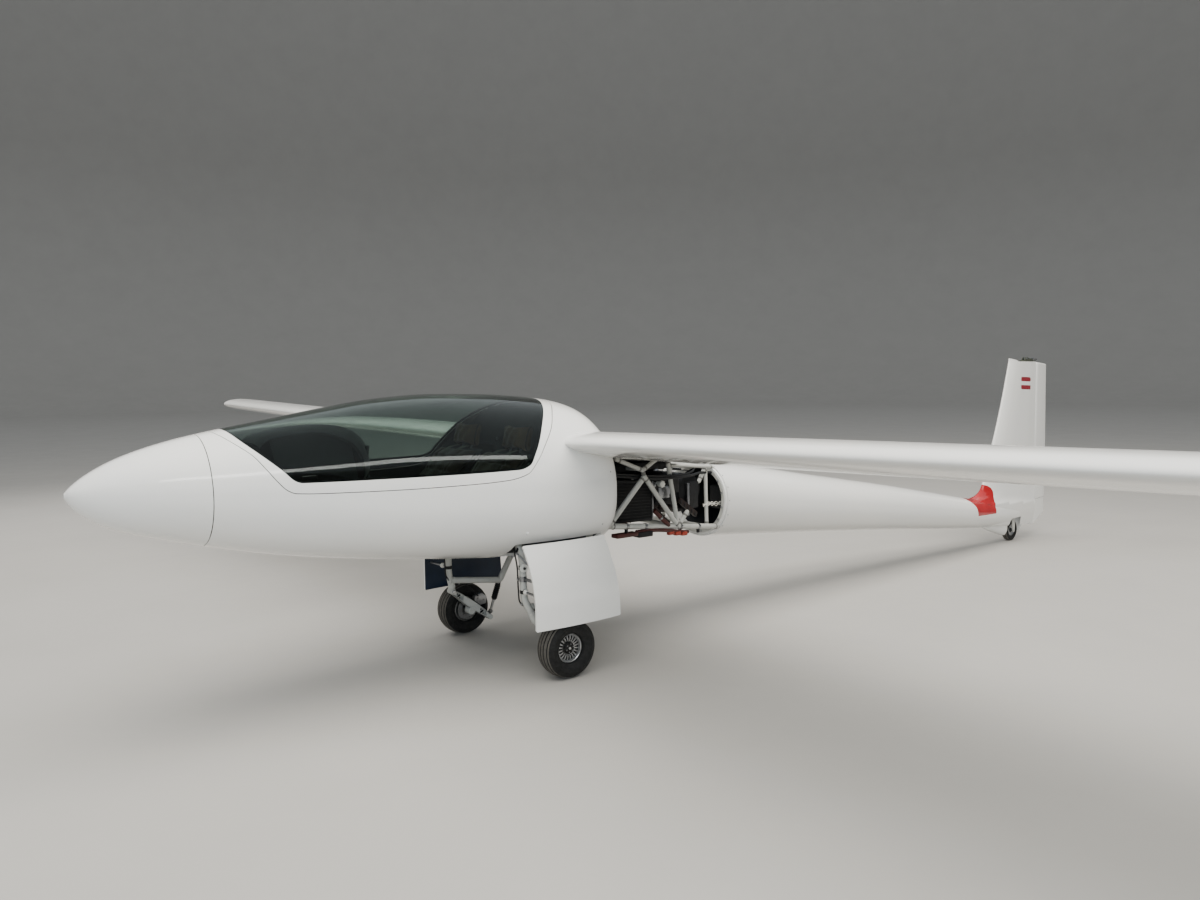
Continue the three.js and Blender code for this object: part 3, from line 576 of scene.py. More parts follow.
WING = np.array([[0, -1.976, 1.224, 1.030, 8.7, 1.0], [0.6, -1.976, 1.236, 1.030, 8.7, 1.0], [5.7, -1.958, 1.341, 0.920, 8.2, 1.0],
                 [9.0, -1.905, 1.409, 0.690, 7.7, 0.97], [11.2, -1.845, 1.454, 0.430, 7.2, 0.92], [11.5, -1.815, 1.460, 0.330, 7.2, 0.85]])
FOIL = np.array([[0, 0, 0], [0.012, 0.022, -0.014], [0.045, 0.044, -0.026], [0.11, 0.066, -0.036], [0.21, 0.083, -0.043], [0.34, 0.089, -0.045],
                 [0.5, 0.083, -0.039], [0.65, 0.067, -0.024], [0.8, 0.043, -0.006], [0.9, 0.024, 0.001], [1.0, 0.0025, -0.0025]])
CONE_SEAM, BAY_FRONT, BOOM_FRONT = -3.680, -1.620, -0.515
HINGE_Y, RUDDER_NOSE, TAIL_Y, FIN_TOP = 3.978, 0.027, 4.210, 1.690


def hull_func(table, sigma=0.06, hold=0.12):
    cols = [fair(table[:, 0], table[:, k], sigma, hold) for k in range(1, 7)]

    def f(y, a):
        """a: 0 at the keel, 0.5 at the top, back to 1 at the keel, left side first."""
        y, a = np.asarray(y, float), np.asarray(a, float)
        top, bot, half, mid, nt, nb = [c(y) for c in cols]
        t = 2 * np.pi * a - np.pi / 2
        c, q = np.cos(t), np.sin(t)
        e = 2 / np.where(q > 0, nt, nb)
        h = np.where(q > 0, top - mid, mid - bot)
        return np.stack([half * np.sign(c) * np.abs(c) ** e, y, mid + h * np.sign(q) * np.abs(q) ** e], axis=-1)

    return f


def edge_curve(pts, offset=0.0):
    """y -> z of an edge line; offset moves it towards the upper side along its normal."""
    xs, zs = [p[0] for p in pts], [p[1] for p in pts]
    f = pchip(xs, zs)
    y = np.linspace(xs[0], xs[-1], 600)
    z = f(y)
    if offset:
        dy, dz = np.gradient(y), np.gradient(z)
        l = np.hypot(dy, dz)
        y, z = y - dz / l * offset, z + dy / l * offset
        o = np.argsort(y)
        y, z = y[o], z[o]
    k0, k1 = (z[1] - z[0]) / (y[1] - y[0]), (z[-1] - z[-2]) / (y[-1] - y[-2])

    def g(q):
        q = np.asarray(q, float)
        out = np.interp(q, y, z)
        out = np.where(q < y[0], z[0] + (q - y[0]) * min(k0, -1.0), out)
        return np.where(q > y[-1], z[-1] + (q - y[-1]) * max(k1, 1.0) * 3 , out)

    return g


def above(edge, offset=0.0, front=-3.60, back=-1.80):
    g = edge_curve(edge, offset)

    def field(p):
        return p[..., 2] - g(p[..., 1])

    return field


# ------------------------------------------------------------------ wing geometry
UPPER, LOWER = pchip(np.sqrt(FOIL[:, 0]), FOIL[:, 1]), pchip(np.sqrt(FOIL[:, 0]), FOIL[:, 2])
HINGE_AT = 0.83


def wing_at(x):
    ax = np.abs(np.asarray(x, float))
    return [np.interp(ax, WING[:, 0], WING[:, k]) for k in range(1, 6)]


def on_station(x, s, n):
    ly, lz, ch, pi_, th = wing_at(x)
    a = -np.radians(pi_)
    return np.stack([x + 0 * s, ly + s * np.cos(a) - n * np.sin(a), lz + s * np.sin(a) + n * np.cos(a)], axis=-1)


def foil_n(x, r, upper):
    ly, lz, ch, pi_, th = wing_at(x)
    return np.where(upper, UPPER(r), LOWER(r)) * ch * th


def wing_func(x, w):
    x, w = np.asarray(x, float), np.asarray(w, float)
    ch = wing_at(x)[2]
    r = np.clip(np.abs(w), 0, 1)
    return on_station(x, r * r * ch, foil_n(x, r, w >= 0))


def wing_local(p):
    """chord distance, height and chord at points."""
    ly, lz, ch, pi_, th = wing_at(p[..., 0])
    a = -np.radians(pi_)
    dy, dz = p[..., 1] - ly, p[..., 2] - lz
    return dy * np.cos(a) + dz * np.sin(a), -dy * np.sin(a) + dz * np.cos(a), ch, th


def outside_wing(grow=0.0):
    def field(p):
        s, n, ch, th = wing_local(p)
        r = np.sqrt(np.clip(s / ch, 0, 1))
        f = np.maximum(n - UPPER(r) * ch * th, LOWER(r) * ch * th - n)
        f = np.where(s < 0, np.hypot(s, n), f)
        return np.where(s > ch, np.maximum(f, s - ch), f) - grow

    return field


def hinge_at(x):
    ly, lz, ch, pi_, th = wing_at(x)
    lin = lambda a, b: a + (b - a) * 0.3
    up, lo = lin(0.043, 0.024) * ch * th, lin(-0.006, 0.001) * ch * th
    return HINGE_AT * ch, (up + lo) / 2, (up - lo) / 2, ch


def smooth_path(pts, n=8):
    pts = [Vector(p) for p in pts]
    out = []
    for i in range(len(pts) - 1):
        p0 = pts[max(0, i - 1)]
        p1, p2 = pts[i], pts[i + 1]
        p3 = pts[min(len(pts) - 1, i + 2)]
        for k in range(n):
            t = k / n
            out.append(0.5 * ((2 * p1) + (p2 - p0) * t + (2 * p0 - 5 * p1 + 4 * p2 - p3) * t * t + (3 * p1 - p0 - 3 * p2 + p3) * t ** 3))
    out.append(pts[-1])
    return out


def bent(pts, radius, n=6):
    """straight runs joined by round bends."""
    pts = [Vector(p) for p in pts]
    out = [pts[0]]
    for i in range(1, len(pts) - 1):
        a, b, c = pts[i - 1], pts[i], pts[i + 1]
        u, v = (a - b), (c - b)
        d = min(radius, 0.45 * u.length, 0.45 * v.length)
        p, q = b + u.normalized() * d, b + v.normalized() * d
        for k in range(n + 1):
            t = k / n
            out.append(p * (1 - t) ** 2 + b * 2 * t * (1 - t) + q * t * t)
    out.append(pts[-1])
    return out


# ------------------------------------------------------------------ materials
WHITE = (0.80, 0.80, 0.775)


def gelcoat(name="gelcoat_white"):
    a = Mat(name, WHITE, 0.12, 0.0, Coat_Weight=0.5, Coat_Roughness=0.03)
    broad = a.noise(1.3, 3.0, 0.55)
    a.color(a.mix(a.math("MULTIPLY", a.noise(23.0, 6.0, 0.7), 0.16), a.ramp(broad, [(0.3, (0.775, 0.78, 0.765)), (0.7, (0.82, 0.815, 0.785))]), (0.66, 0.64, 0.58)))
    a.rough(a.ramp(a.noise(9.0, 5.0, 0.7), [(0.35, 0.10), (0.75, 0.20)]))
    a.bump(a.noise(5.0, 2.0, 0.5), 0.05, 0.004)
    return a


MAT_WHITE = gelcoat()
MAT_SEAM = varied("seam_grey", srgb(0x6d6c68), 0.55, spread=0.2, scale=40)
MAT_LINING = varied("cockpit_lining", srgb(0x2c2e31), 0.75, spread=0.25, scale=30, bump=(420, 0.35, 0.0006), Sheen_Weight=0.15)
MAT_CARPET = varied("cockpit_carpet", srgb(0x26272a), 0.95, spread=0.35, scale=60, bump=(900, 0.9, 0.0015), Sheen_Weight=0.3)
MAT_BLACK = varied("panel_black", srgb(0x131416), 0.62, spread=0.25, scale=25, bump=(700, 0.3, 0.0005))
MAT_HOOD = varied("hood_black", srgb(0x101113), 0.6, spread=0.3, scale=14, bump=(1100, 0.35, 0.0004), Sheen_Weight=0.2)
MAT_RUBBER = varied("rubber_black", srgb(0x17181a), 0.7, spread=0.3, scale=30, bump=(300, 0.25, 0.0006))
MAT_TUBE = varied("frame_tube_paint", srgb(0xb4b4ae), 0.38, 0.0, spread=0.1, scale=16, bump=(180, 0.08, 0.0005), Coat_Weight=0.2)
MAT_CHROME = varied("chrome_bright", srgb(0xcfd1d3), 0.16, 1.0, spread=0.06, scale=60, rough_spread=0.12)
MAT_STEEL = varied("steel_dull", srgb(0x9a9ca0), 0.34, 1.0, spread=0.15, scale=45, rough_spread=0.2, bump=(260, 0.1, 0.0004))
MAT_ALLOY = varied("alloy_cast", srgb(0xb9bbbe), 0.36, 1.0, spread=0.12, scale=70, rough_spread=0.2, bump=(520, 0.18, 0.0004))
MAT_NAVY = varied("navy_inside", srgb(0x1d2a3c), 0.42, spread=0.22, scale=12, bump=(140, 0.12, 0.0006))
MAT_IRON = varied("engine_cast", srgb(0x222325), 0.5, 0.7, spread=0.3, scale=22, bump=(240, 0.5, 0.0012))
MAT_SHEET = varied("firewall_foil", srgb(0x5b5e63), 0.42, 0.8, spread=0.2, scale=18, bump=(36, 0.35, 0.003))
MAT_CORE = varied("radiator_core", srgb(0x17181a), 0.55, 0.3, spread=0.25, scale=50)
MAT_COMPOSITE = varied("blade_composite", srgb(0x35373a), 0.35, spread=0.2, scale=20, bump=(500, 0.12, 0.0003))
MAT_FITTING = varied("fitting_bare", srgb(0x7c8072), 0.4, 0.85, spread=0.25, scale=60, bump=(300, 0.2, 0.0005))
MAT_STRUT = varied("strut_black", srgb(0x1a1b1d), 0.4, 0.3, spread=0.2, scale=30)
MAT_BRAKE = varied("brake_plate", srgb(0xd4d4cf), 0.35, 0.5, spread=0.08, scale=40)
MAT_MAROON = varied("hose_maroon", srgb(0x431a17), 0.5, spread=0.3, scale=26, bump=(260, 0.4, 0.0008))
MAT_COPPER = varied("pipe_brown", srgb(0x251c1a), 0.5, 0.3, spread=0.3, scale=30)
MAT_LATEX = varied("hose_orange_red", srgb(0x8f3426), 0.45, spread=0.25, scale=40, bump=(200, 0.3, 0.0006))
MAT_WIRE = varied("wire_pale", srgb(0xd8d6cc), 0.5, spread=0.12, scale=80)
MAT_CREAM = varied("cap_white", srgb(0xd9d8d0), 0.4, spread=0.1, scale=40)
MAT_DIALFACE = varied("dial_face", srgb(0x0b0c0d), 0.35, spread=0.2, scale=60)
MAT_WEB = varied("belt_webbing", srgb(0x6b6c66), 0.8, spread=0.12, scale=50)


def red_film():
    a = Mat("red_film", srgb(0xa3161c), 0.16, 0.0, Coat_Weight=0.6, Coat_Roughness=0.05)
    a.color(a.ramp(a.noise(7.0, 4.0, 0.6), [(0.3, srgb(0x98141a)), (0.7, srgb(0xb01c22))]))
    a.rough(a.ramp(a.noise(30.0, 4.0, 0.6), [(0.3, 0.12), (0.7, 0.24)]))
    return a


MAT_RED = red_film()
MAT_DARKRED = varied("bar_red", srgb(0x86202c), 0.3, spread=0.15, scale=60)


def canopy_glass():
    a = Mat("canopy_tinted", (0.44, 0.53, 0.49), 0.0, 0.0, Transmission_Weight=1.0, IOR=1.33)
    a.color(a.ramp(a.noise(1.1, 2.0, 0.5), [(0.3, (0.40, 0.49, 0.45)), (0.7, (0.45, 0.535, 0.495))]))
    a.rough(a.ramp(a.noise(14.0, 6.0, 0.75), [(0.5, 0.0), (0.85, 0.025)]))
    return a


MAT_GLASS = canopy_glass()


def cloth(name, base, dark, weave=1500.0):
    a = Mat(name, base, 0.92, 0.0, Sheen_Weight=0.35, Sheen_Roughness=0.5)
    wx = a.node("ShaderNodeTexWave", Scale=weave / 6.283, Distortion=0.6)
    wx.bands_direction = "X"
    wy = a.node("ShaderNodeTexWave", Scale=weave / 6.283, Distortion=0.6)
    wy.bands_direction = "DIAGONAL"
    for w in (wx, wy):
        a.link(a.co, w.inputs["Vector"])
    weave_h = a.math("MAXIMUM", wx.outputs["Fac"], wy.outputs["Fac"])
    tone = a.ramp(a.noise(8.0, 4.0, 0.6), [(0.3, dark), (0.7, base)])
    a.color(a.mix(a.math("MULTIPLY", weave_h, 0.35), tone, [c * 0.45 for c in dark]))
    a.bump(weave_h, 0.5, 0.0006)
    a.bump(a.noise(60.0, 4.0, 0.6), 0.3, 0.002)
    return a


MAT_SEAT = cloth("seat_cloth", srgb(0x5a4a3a), srgb(0x463a2e))
MAT_HEAD = cloth("headrest_cloth_brown", srgb(0x86694a), srgb(0x6b543b))
MAT_PIPING = varied("seat_piping", srgb(0x2b2622), 0.7, spread=0.2, scale=80)


def tyre_material():
    a = Mat("tyre_dusty", srgb(0x1c1d1f), 0.8, 0.0)
    sep = a.node("ShaderNodeSeparateXYZ")
    a.link(a.co, sep.inputs[0])
    dust = a.noise(35.0, 6.0, 0.7)
    a.color(a.ramp(dust, [(0.35, srgb(0x101112)), (0.62, srgb(0x191a1a)), (0.8, srgb(0x2b2a28))]))
    a.rough(a.ramp(a.noise(50.0, 4.0, 0.6), [(0.3, 0.6), (0.7, 0.92)]))
    a.bump(a.noise(420.0, 3.0, 0.6), 0.35, 0.0006)
    return a


MAT_TYRE = tyre_material()
MAT_TREAD = varied("tyre_tread_dust", srgb(0x55524d), 0.9, spread=0.3, scale=38, bump=(300, 0.5, 0.001))


# ------------------------------------------------------------------ front fuselage, canopy, nose cone
hull = hull_func(FRONT, 0.05, 0.12)
RING = np.linspace(0, 1, (145))
STEP = 0.0125


def stations(a, b, step=STEP):
    return np.linspace(a, b, max(2, int(round((b - a) / step)) + 1))


frame_edge, glass_edge = above(FRAME_EDGE), above(GLASS_EDGE)
not_wing = outside_wing(0.0)


def belly_bays(p):
    x = np.abs(p[..., 0])
    q = np.stack([x - 0.640, 0.150 - x, p[..., 1] + 1.690, -2.262 - p[..., 1], p[..., 2] - 0.722])
    return q.max(axis=0)


def shell_rear(p):
    return np.maximum(BAY_FRONT - p[..., 1], p[..., 2] - 1.15)


skin = Surf(hull, stations(CONE_SEAM + 0.0012, -1.4945), RING)
skin.clip(lambda p: -frame_edge(p))
skin.clip(belly_bays)
skin.clip(shell_rear)
skin.clip(not_wing)
skin.build("fuselage_skin", [MAT_WHITE, MAT_LINING], thick=0.016, inner_mat=1, replaces=("fuselage_front",), slot="gelcoat")

rim = Surf(hull, stations(-3.64, -1.76), RING)
rim.clip(above(FRAME_EDGE, 0.0035))
rim.clip(lambda p: -above(GLASS_EDGE, 0.0)(p))
rim.build("canopy_rim", [MAT_WHITE, MAT_BLACK], thick=0.020, inner_mat=1, body="canopy", replaces=("canopy_frame",), slot="gelcoat")

pane = Surf(hull, stations(-3.59, -1.80), RING)
pane.clip(above(GLASS_EDGE, 0.0008))
pane.build("canopy_pane", [MAT_GLASS], thick=0.005, body="canopy", replaces=("canopy_glass",), slot="canopy_glass")

# dark sealing bead inside the glass edge
band = Surf(hull, stations(-3.59, -1.80), RING)
band.clip(above(GLASS_EDGE, -0.006))
band.clip(lambda p: -above(GLASS_EDGE, 0.012)(p))


class Inset:
    """the same surface moved inwards by d."""

    def __init__(self, func, d):
        self.f, self.d = func, d

    def __call__(self, u, v):
        e = 2e-4
        p = self.f(u, v)
        du = self.f(u + e, v) - self.f(u - e, v)
        dv = self.f(u, v + e) - self.f(u, v - e)
        n = np.cross(du, dv)
        l = np.linalg.norm(n, axis=-1, keepdims=True)
        return p - n / np.where(l < 1e-12, 1, l) * self.d


band.func = Inset(hull, 0.0075)
band.build("canopy_bead", [MAT_BLACK], thick=0.006, body="canopy", slot="instrument_black")

nose_y = np.concatenate([-4.208 + np.array([0, 0.002, 0.005, 0.009, 0.014, 0.020, 0.028, 0.038, 0.05]), stations(-4.146, CONE_SEAM - 0.0022)])
cone = Surf(hull, nose_y, RING)
cone.build("nose_skin", [MAT_WHITE, MAT_COMPOSITE], thick=0.006, inner_mat=1, body="nose_cone", replaces=("nose_cone",), slot="gelcoat")
s = Soup(MAT_WHITE, MAT_STEEL, MAT_SEAM)
s.turn([(0.0001, -0.012), (0.006, -0.0118), (0.0095, -0.010), (0.0115, -0.006), (0.012, 0.0), (0.012, 0.03), (0.014, 0.034), (0.0145, 0.046)], (0, -4.198, 1.099), (0, 1, 0), 28, 0)
s.turn([(0.004, -0.0122), (0.0038, -0.0118), (0.0038, -0.006), (0.0002, -0.006)], (0, -4.198, 1.099), (0, 1, 0), 20, 2)
s.turn([(0.0125, 0.008), (0.0132, 0.009), (0.0132, 0.013), (0.0125, 0.014)], (0, -4.198, 1.099), (0, 1, 0), 28, 1)
s.make("nose_probe", "nose_cone", (), "fitting_metal")


# ------------------------------------------------------------------ wings
def lerp(a, b, t):
    return a + (b - a) * t


def ring_loft(soup, rings, mat=0, cap0=True, cap1=True, closed=True):
    n = len(rings[0])
    verts = [p for r in rings for p in r]
    faces, flags = [], []
    m = n if closed else n - 1
    for i in range(len(rings) - 1):
        for k in range(m):
            l = (k + 1) % n
            faces.append((i * n + k, i * n + l, (i + 1) * n + l, (i + 1) * n + k))
            flags.append(True)
    if cap0:
        faces.append(tuple(reversed(range(n))))
        flags.append(False)
    if cap1:
        faces.append(tuple((len(rings) - 1) * n + k for k in range(n)))
        flags.append(False)
    # outward faces
    vol = 0.0
    for f in faces:
        a = Vector(verts[f[0]])
        for k in range(1, len(f) - 1):
            vol += a.dot(Vector(verts[f[k]]).cross(Vector(verts[f[k + 1]])))
    if vol < 0:
        faces = [tuple(reversed(f)) for f in faces]
    return soup.add(verts, faces, mat, flags)


SPAN_R = np.concatenate([-np.linspace(1, 0, 41), np.linspace(0, 1, 41)[1:]])
FLAP, BRAKE = (0.650, 5.675), (3.550, 4.950)
BRAKE_AT = 0.47


def surface_slot(spans):
    def field(p):
        s, n, ch, th = wing_local(p)
        x = np.abs(p[..., 0])
        sn, hn, hr, c2 = hinge_at(x)
        front = sn - hr - 0.0045
        f = np.full(x.shape, 1.0)
        for x0, x1 in spans:
            f = np.minimum(f, np.maximum.reduce([x0 - 0.004 - x, x - x1 - 0.004, front - s]))
        return f

    return field


def brake_slot(p):
    s, n, ch, th = wing_local(p)
    x = np.abs(p[..., 0])
    top = n - 0.5 * (UPPER(np.sqrt(BRAKE_AT)) + LOWER(np.sqrt(BRAKE_AT))) * ch
    return np.maximum.reduce([BRAKE[0] - 0.0055 - x, x - BRAKE[1] - 0.0055, np.abs(s - BRAKE_AT * ch) - 0.0125, -top])


def spar_wall(soup, x0, x1, n=24):
    """closing wall ahead of a hinged surface."""
    rows = []
    for x in np.linspace(x0, x1, n):
        sn, hn, hr, ch = [float(v) for v in hinge_at(x)]
        s_ = sn - hr - 0.0048
        r = math.sqrt(s_ / ch)
        up_, lo_ = float(foil_n(x, r, True)), float(foil_n(x, r, False))
        rows.append([on_station(np.float64(x), s_, lo_ + 0.0005), on_station(np.float64(x), s_, up_ - 0.0005),
                     on_station(np.float64(x), s_ - 0.004, up_ - 0.0005), on_station(np.float64(x), s_ - 0.004, lo_ + 0.0005)])
    ring_loft(soup, rows, 0)


xs = np.concatenate([-np.linspace(5.6985, 0.6, 26), [-0.3, 0, 0.3], np.linspace(0.6, 5.6985, 26)])
slot_x = np.array([BRAKE[0] - 0.0058, BRAKE[0] - 0.0050, BRAKE[1] + 0.0050, BRAKE[1] + 0.0058])
slot_r = math.sqrt(BRAKE_AT)
wc = Surf(wing_func, np.sort(np.concatenate([xs, slot_x, -slot_x])), np.sort(np.concatenate([SPAN_R, [-slot_r, slot_r]])))
wc.clip(surface_slot([FLAP]))
wc.clip(brake_slot)
wc.build("wing_centre_skin", [MAT_WHITE, MAT_LINING], thick=0.003, inner_mat=1, replaces=("wing_centre",), slot="gelcoat")


walls = Soup(MAT_WHITE, MAT_BLACK, MAT_STEEL, MAT_LINING)
spar_wall(walls, FLAP[0] - 0.004, FLAP[1] + 0.004)
# ribs at the ends of the centre section, set in a little, and at the ends of the flap
for x, d, w0, w1 in ((5.6900, -0.004, 0.0, 1.0), (FLAP[0] - 0.0045, -0.003, 0.76, 1.0), (FLAP[1] + 0.0045, 0.003, 0.76, 1.0)):
    rs = np.sqrt(np.linspace(w0, w1, 30))
    rings = []
    for xx in (x, x + d):
        ch = float(wing_at(xx)[2])
        up_ = [on_station(np.float64(xx), r * r * ch, float(foil_n(xx, r, True)) * 0.995) for r in rs]
        lo_ = [on_station(np.float64(xx), r * r * ch, float(foil_n(xx, r, False)) * 0.995) for r in rs[::-1]]
        rings.append(up_ + (lo_[:-1] if w0 == 0 else lo_))
    ring_loft(walls, rings, 0)


def on_rib(c, n, x=5.6902):
    ch = float(wing_at(x)[2])
    return on_station(np.float64(x), c * ch, n)


# panel joint: spar socket in its frame, two pin bushes, push rod end, drain hole
for dn0, dn1, c0, c1, mat, dx in ((-0.028, 0.066, 0.315, 0.385, 2, 0.0030), (-0.023, 0.061, 0.322, 0.378, 1, 0.0042)):
    quad = [on_rib(c0, dn0), on_rib(c1, dn0), on_rib(c1, dn1), on_rib(c0, dn1)]
    walls.prism([tuple(q) for q in quad], (dx, 0, 0), mat, 0.002)
for c, n, r in ((0.12, 0.014, 0.017), (0.70, 0.018, 0.015)):
    q = on_rib(c, n)
    walls.turn([(r * 0.55, 0.0), (r * 0.55, 0.0035), (r, 0.0045), (r * 1.12, 0.003), (r * 1.15, 0.0)], tuple(q), (1, 0, 0), 28, 2)
    walls.turn([(0.0001, 0.0012), (r * 0.56, 0.0012)], tuple(q), (1, 0, 0), 20, 1)
q = on_rib(0.54, 0.020)
walls.turn([(0.0001, 0.0030), (0.012, 0.0028), (0.013, 0.0018), (0.0135, 0.0)], tuple(q), (1, 0, 0), 24, 1)
for k in range(16):
    q = on_rib(0.05 + 0.055 * k, float(foil_n(5.69, math.sqrt(0.05 + 0.055 * k), True)) - 0.008)
    walls.turn([(0.0001, 0.0014), (0.0030, 0.0012), (0.0036, 0.0)], tuple(q), (1, 0, 0), 10, 2)
both(walls, "wing_ribs_{}", "airframe", (), "gelcoat", 25)

# flaps
for nm, (x0, x1) in (("flap", FLAP),):
    s = Soup(MAT_WHITE)
    rings = []
    for x in np.linspace(x0, x1, 22):
        sn, hn, hr, ch = [float(v) for v in hinge_at(x)]
        ring = []
        for k in range(15):
            t = math.pi / 2 + math.pi * k / 14
            ring.append(on_station(np.float64(x), sn + hr * math.cos(t), hn + hr * math.sin(t)))
        for c in (0.845, 0.87, 0.90, 0.93, 0.96, 0.985, 1.0):
            ring.append(on_station(np.float64(x), c * ch, float(foil_n(x, math.sqrt(c), False))))
        for c in (1.0, 0.985, 0.96, 0.93, 0.90, 0.87, 0.845):
            ring.append(on_station(np.float64(x), c * ch, float(foil_n(x, math.sqrt(c), True))))
        rings.append(ring)
    ring_loft(s, rings, 0)
    both(s, nm + "_skin_{}", nm + "_{}", (nm + "_{}",), "gelcoat", 30)

# airbrake: cap strip, perforated plate, slot lining
s, lining = Soup(MAT_WHITE, MAT_BRAKE), Soup(MAT_BRAKE)
cap, rows_l, rows_f = [], [], []
for x in np.linspace(BRAKE[0], BRAKE[1], 12):
    ch = float(wing_at(x)[2])
    c0 = BRAKE_AT * ch
    at = lambda ds, dn, x=x, c0=c0, ch=ch: on_station(np.float64(x), c0 + ds, float(foil_n(x, math.sqrt((c0 + ds) / ch), True)) + dn)
    cap.append([at(-0.0105, -0.0006), at(0.0105, -0.0006), at(0.0105, -0.0036), at(-0.0105, -0.0036)])
    for rows, sgn in ((rows_f, -1), (rows_l, 1)):
        rows.append([at(sgn * 0.0125, -0.0002), at(sgn * 0.0145, -0.0002), at(sgn * 0.0145, -0.094), at(sgn * 0.0125, -0.094)])
ring_loft(s, cap, 0)
ring_loft(lining, rows_l, 0)
ring_loft(lining, rows_f, 0)
n_slot = 22
for k in range(n_slot):
    xa, xb = [lerp(BRAKE[0] + 0.002, BRAKE[1] - 0.002, (k + q) / n_slot) for q in (0.06, 0.94)]
    for z0, z1 in ((-0.0036, -0.020), (-0.044, -0.058), (-0.080, -0.090)):
        rings = []
        for x in (lerp(BRAKE[0], BRAKE[1], k / n_slot), lerp(BRAKE[0], BRAKE[1], (k + 1) / n_slot)):
            ch = float(wing_at(x)[2])
            top = float(foil_n(x, math.sqrt(BRAKE_AT), True))
            rings.append([on_station(np.float64(x), BRAKE_AT * ch + ds, top + dn) for ds, dn in ((-0.003, z0), (0.003, z0), (0.003, z1), (-0.003, z1))])
        ring_loft(s, rings, 1)
    rings = []
    for x in (xb, lerp(BRAKE[0], BRAKE[1], min(1.0, (k + 1.06) / n_slot))):
        ch = float(wing_at(x)[2])
        top = float(foil_n(x, math.sqrt(BRAKE_AT), True))
        rings.append([on_station(np.float64(x), BRAKE_AT * ch + ds, top + dn) for ds, dn in ((-0.0028, -0.01), (0.0028, -0.01), (0.0028, -0.088), (-0.0028, -0.088))])
    ring_loft(s, rings, 1)
both(s, "airbrake_plate_{}", "airbrake_{}", ("airbrake_{}",), "brake_panel", 25)
rings = []
for x in (BRAKE[0] - 0.005, BRAKE[1] + 0.005):
    ch = float(wing_at(x)[2])
    top = float(foil_n(x, math.sqrt(BRAKE_AT), True))
    rings.append([on_station(np.float64(x), BRAKE_AT * ch + ds, top + dn) for ds, dn in ((-0.014, -0.0935), (0.014, -0.0935), (0.014, -0.0955), (-0.014, -0.0955))])
ring_loft(lining, rings, 0)
both(lining, "airbrake_well_{}", "airframe", (), "brake_panel", 25)

# ------------------------------------------------------------------ tail boom, fin, rudder
boom_hull = hull_func(BOOM, 0.12, 0.10)
FIN_END = HINGE_Y - RUDDER_NOSE - 0.0055
fin_lead = pchip([0.13, 0.20, 0.30, 0.40, 0.440, 0.455, 0.466, 0.485, 0.512, 0.550, 0.594, 0.700, 0.940, 1.300, 1.69], [3.70, 3.00, 2.84, 2.79, 2.815, 2.880, 2.936, 2.988, 3.033, 3.063, 3.085, 3.128, 3.234, 3.370, 3.490])
fin_half = pchip([0.13, 0.20, 0.30, 0.44, 0.544, 0.968, 1.69], [0.012, 0.034, 0.052, 0.060, 0.058, 0.050, 0.038])
fin_shape = pchip(np.sqrt([0, 0.006, 0.02, 0.05, 0.1, 0.2, 0.38, 0.7, 1]), [0, 0.17, 0.31, 0.48, 0.67, 0.88, 1.0, 0.90, 0.64])


def fin_func(z, w):
    z, w = np.asarray(z, float), np.asarray(w, float)
    r = np.clip(np.abs(w), 0, 1)
    lead = fin_lead(z)
    y = lead + (FIN_END - lead) * r * r
    top_of_boom = np.interp(y, BOOM[:, 0], BOOM[:, 1]) - 0.035
    flare = 0.040 * np.exp(-np.clip(z - top_of_boom, 0, 1) / 0.038) * np.clip(1.30 - (y - 3.0) * 0.85, 0, 1)
    t = fin_shape(r) * fin_half(z) + flare * (1 - np.exp(-r * r / 0.04))
    return np.stack([-np.sign(w) * t, y, z], axis=-1)


FIN_R = np.concatenate([-np.linspace(1, 0, 45), np.linspace(0, 1, 45)[1:]])


def patch_outline(p):
    """red anti-scuff film over the fin's front fillet, seen from the side."""
    poly = [(2.640, 0.520), (2.700, 0.473), (2.745, 0.438), (2.775, 0.400), (2.785, 0.322), (3.122, 0.312), (3.132, 0.345), (3.143, 0.400), (3.152, 0.440), (3.166, 0.476), (3.170, 0.505), (3.152, 0.535), (3.120, 0.556), (3.060, 0.574), (2.98, 0.590), (2.64, 0.66)]
    y, z = p[..., 1], p[..., 2]
    inside = np.zeros(y.shape, bool)
    dist = np.full(y.shape, 9.0)
    n = len(poly)
    for i in range(n):
        (y0, z0), (y1, z1) = poly[i], poly[(i + 1) % n]
        c = ((z0 > z) != (z1 > z)) & (y < (y1 - y0) * (z - z0) / (z1 - z0 + 1e-12) + y0)
        inside ^= c
        ty, tz = y1 - y0, z1 - z0
        t = np.clip(((y - y0) * ty + (z - z0) * tz) / (ty * ty + tz * tz), 0, 1)
        dist = np.minimum(dist, np.hypot(y - y0 - t * ty, z - z0 - t * tz))
    return np.where(inside, dist, -dist)


WELL_R = 0.128


def tail_well(p):
    return np.maximum(np.hypot(p[..., 0], p[..., 1] - 3.560) - WELL_R * 0.0 - 0.122, p[..., 2] - 0.226)


boom_y = np.concatenate([stations(BOOM_FRONT + 0.0, 2.5, 0.03), stations(2.5, 3.3, 0.0125)[1:], stations(3.3, HINGE_Y - 0.035, 0.025)[1:]])
bs = Surf(boom_hull, boom_y, np.linspace(0, 1, 129))
bs.clip(tail_well)
bs.clip(lambda p: patch_outline(p) + 0.005, paint=2)
bs.clip(lambda p: patch_outline(p), paint=3, where=(2,))
MAT_FILMEDGE = varied("film_edge_white", srgb(0xe8e6df), 0.3, spread=0.05, scale=50)
bs.build("boom_skin", [MAT_WHITE, MAT_LINING, MAT_FILMEDGE, MAT_RED], thick=0.006, inner_mat=1, replaces=("tail_boom",), slot="gelcoat")

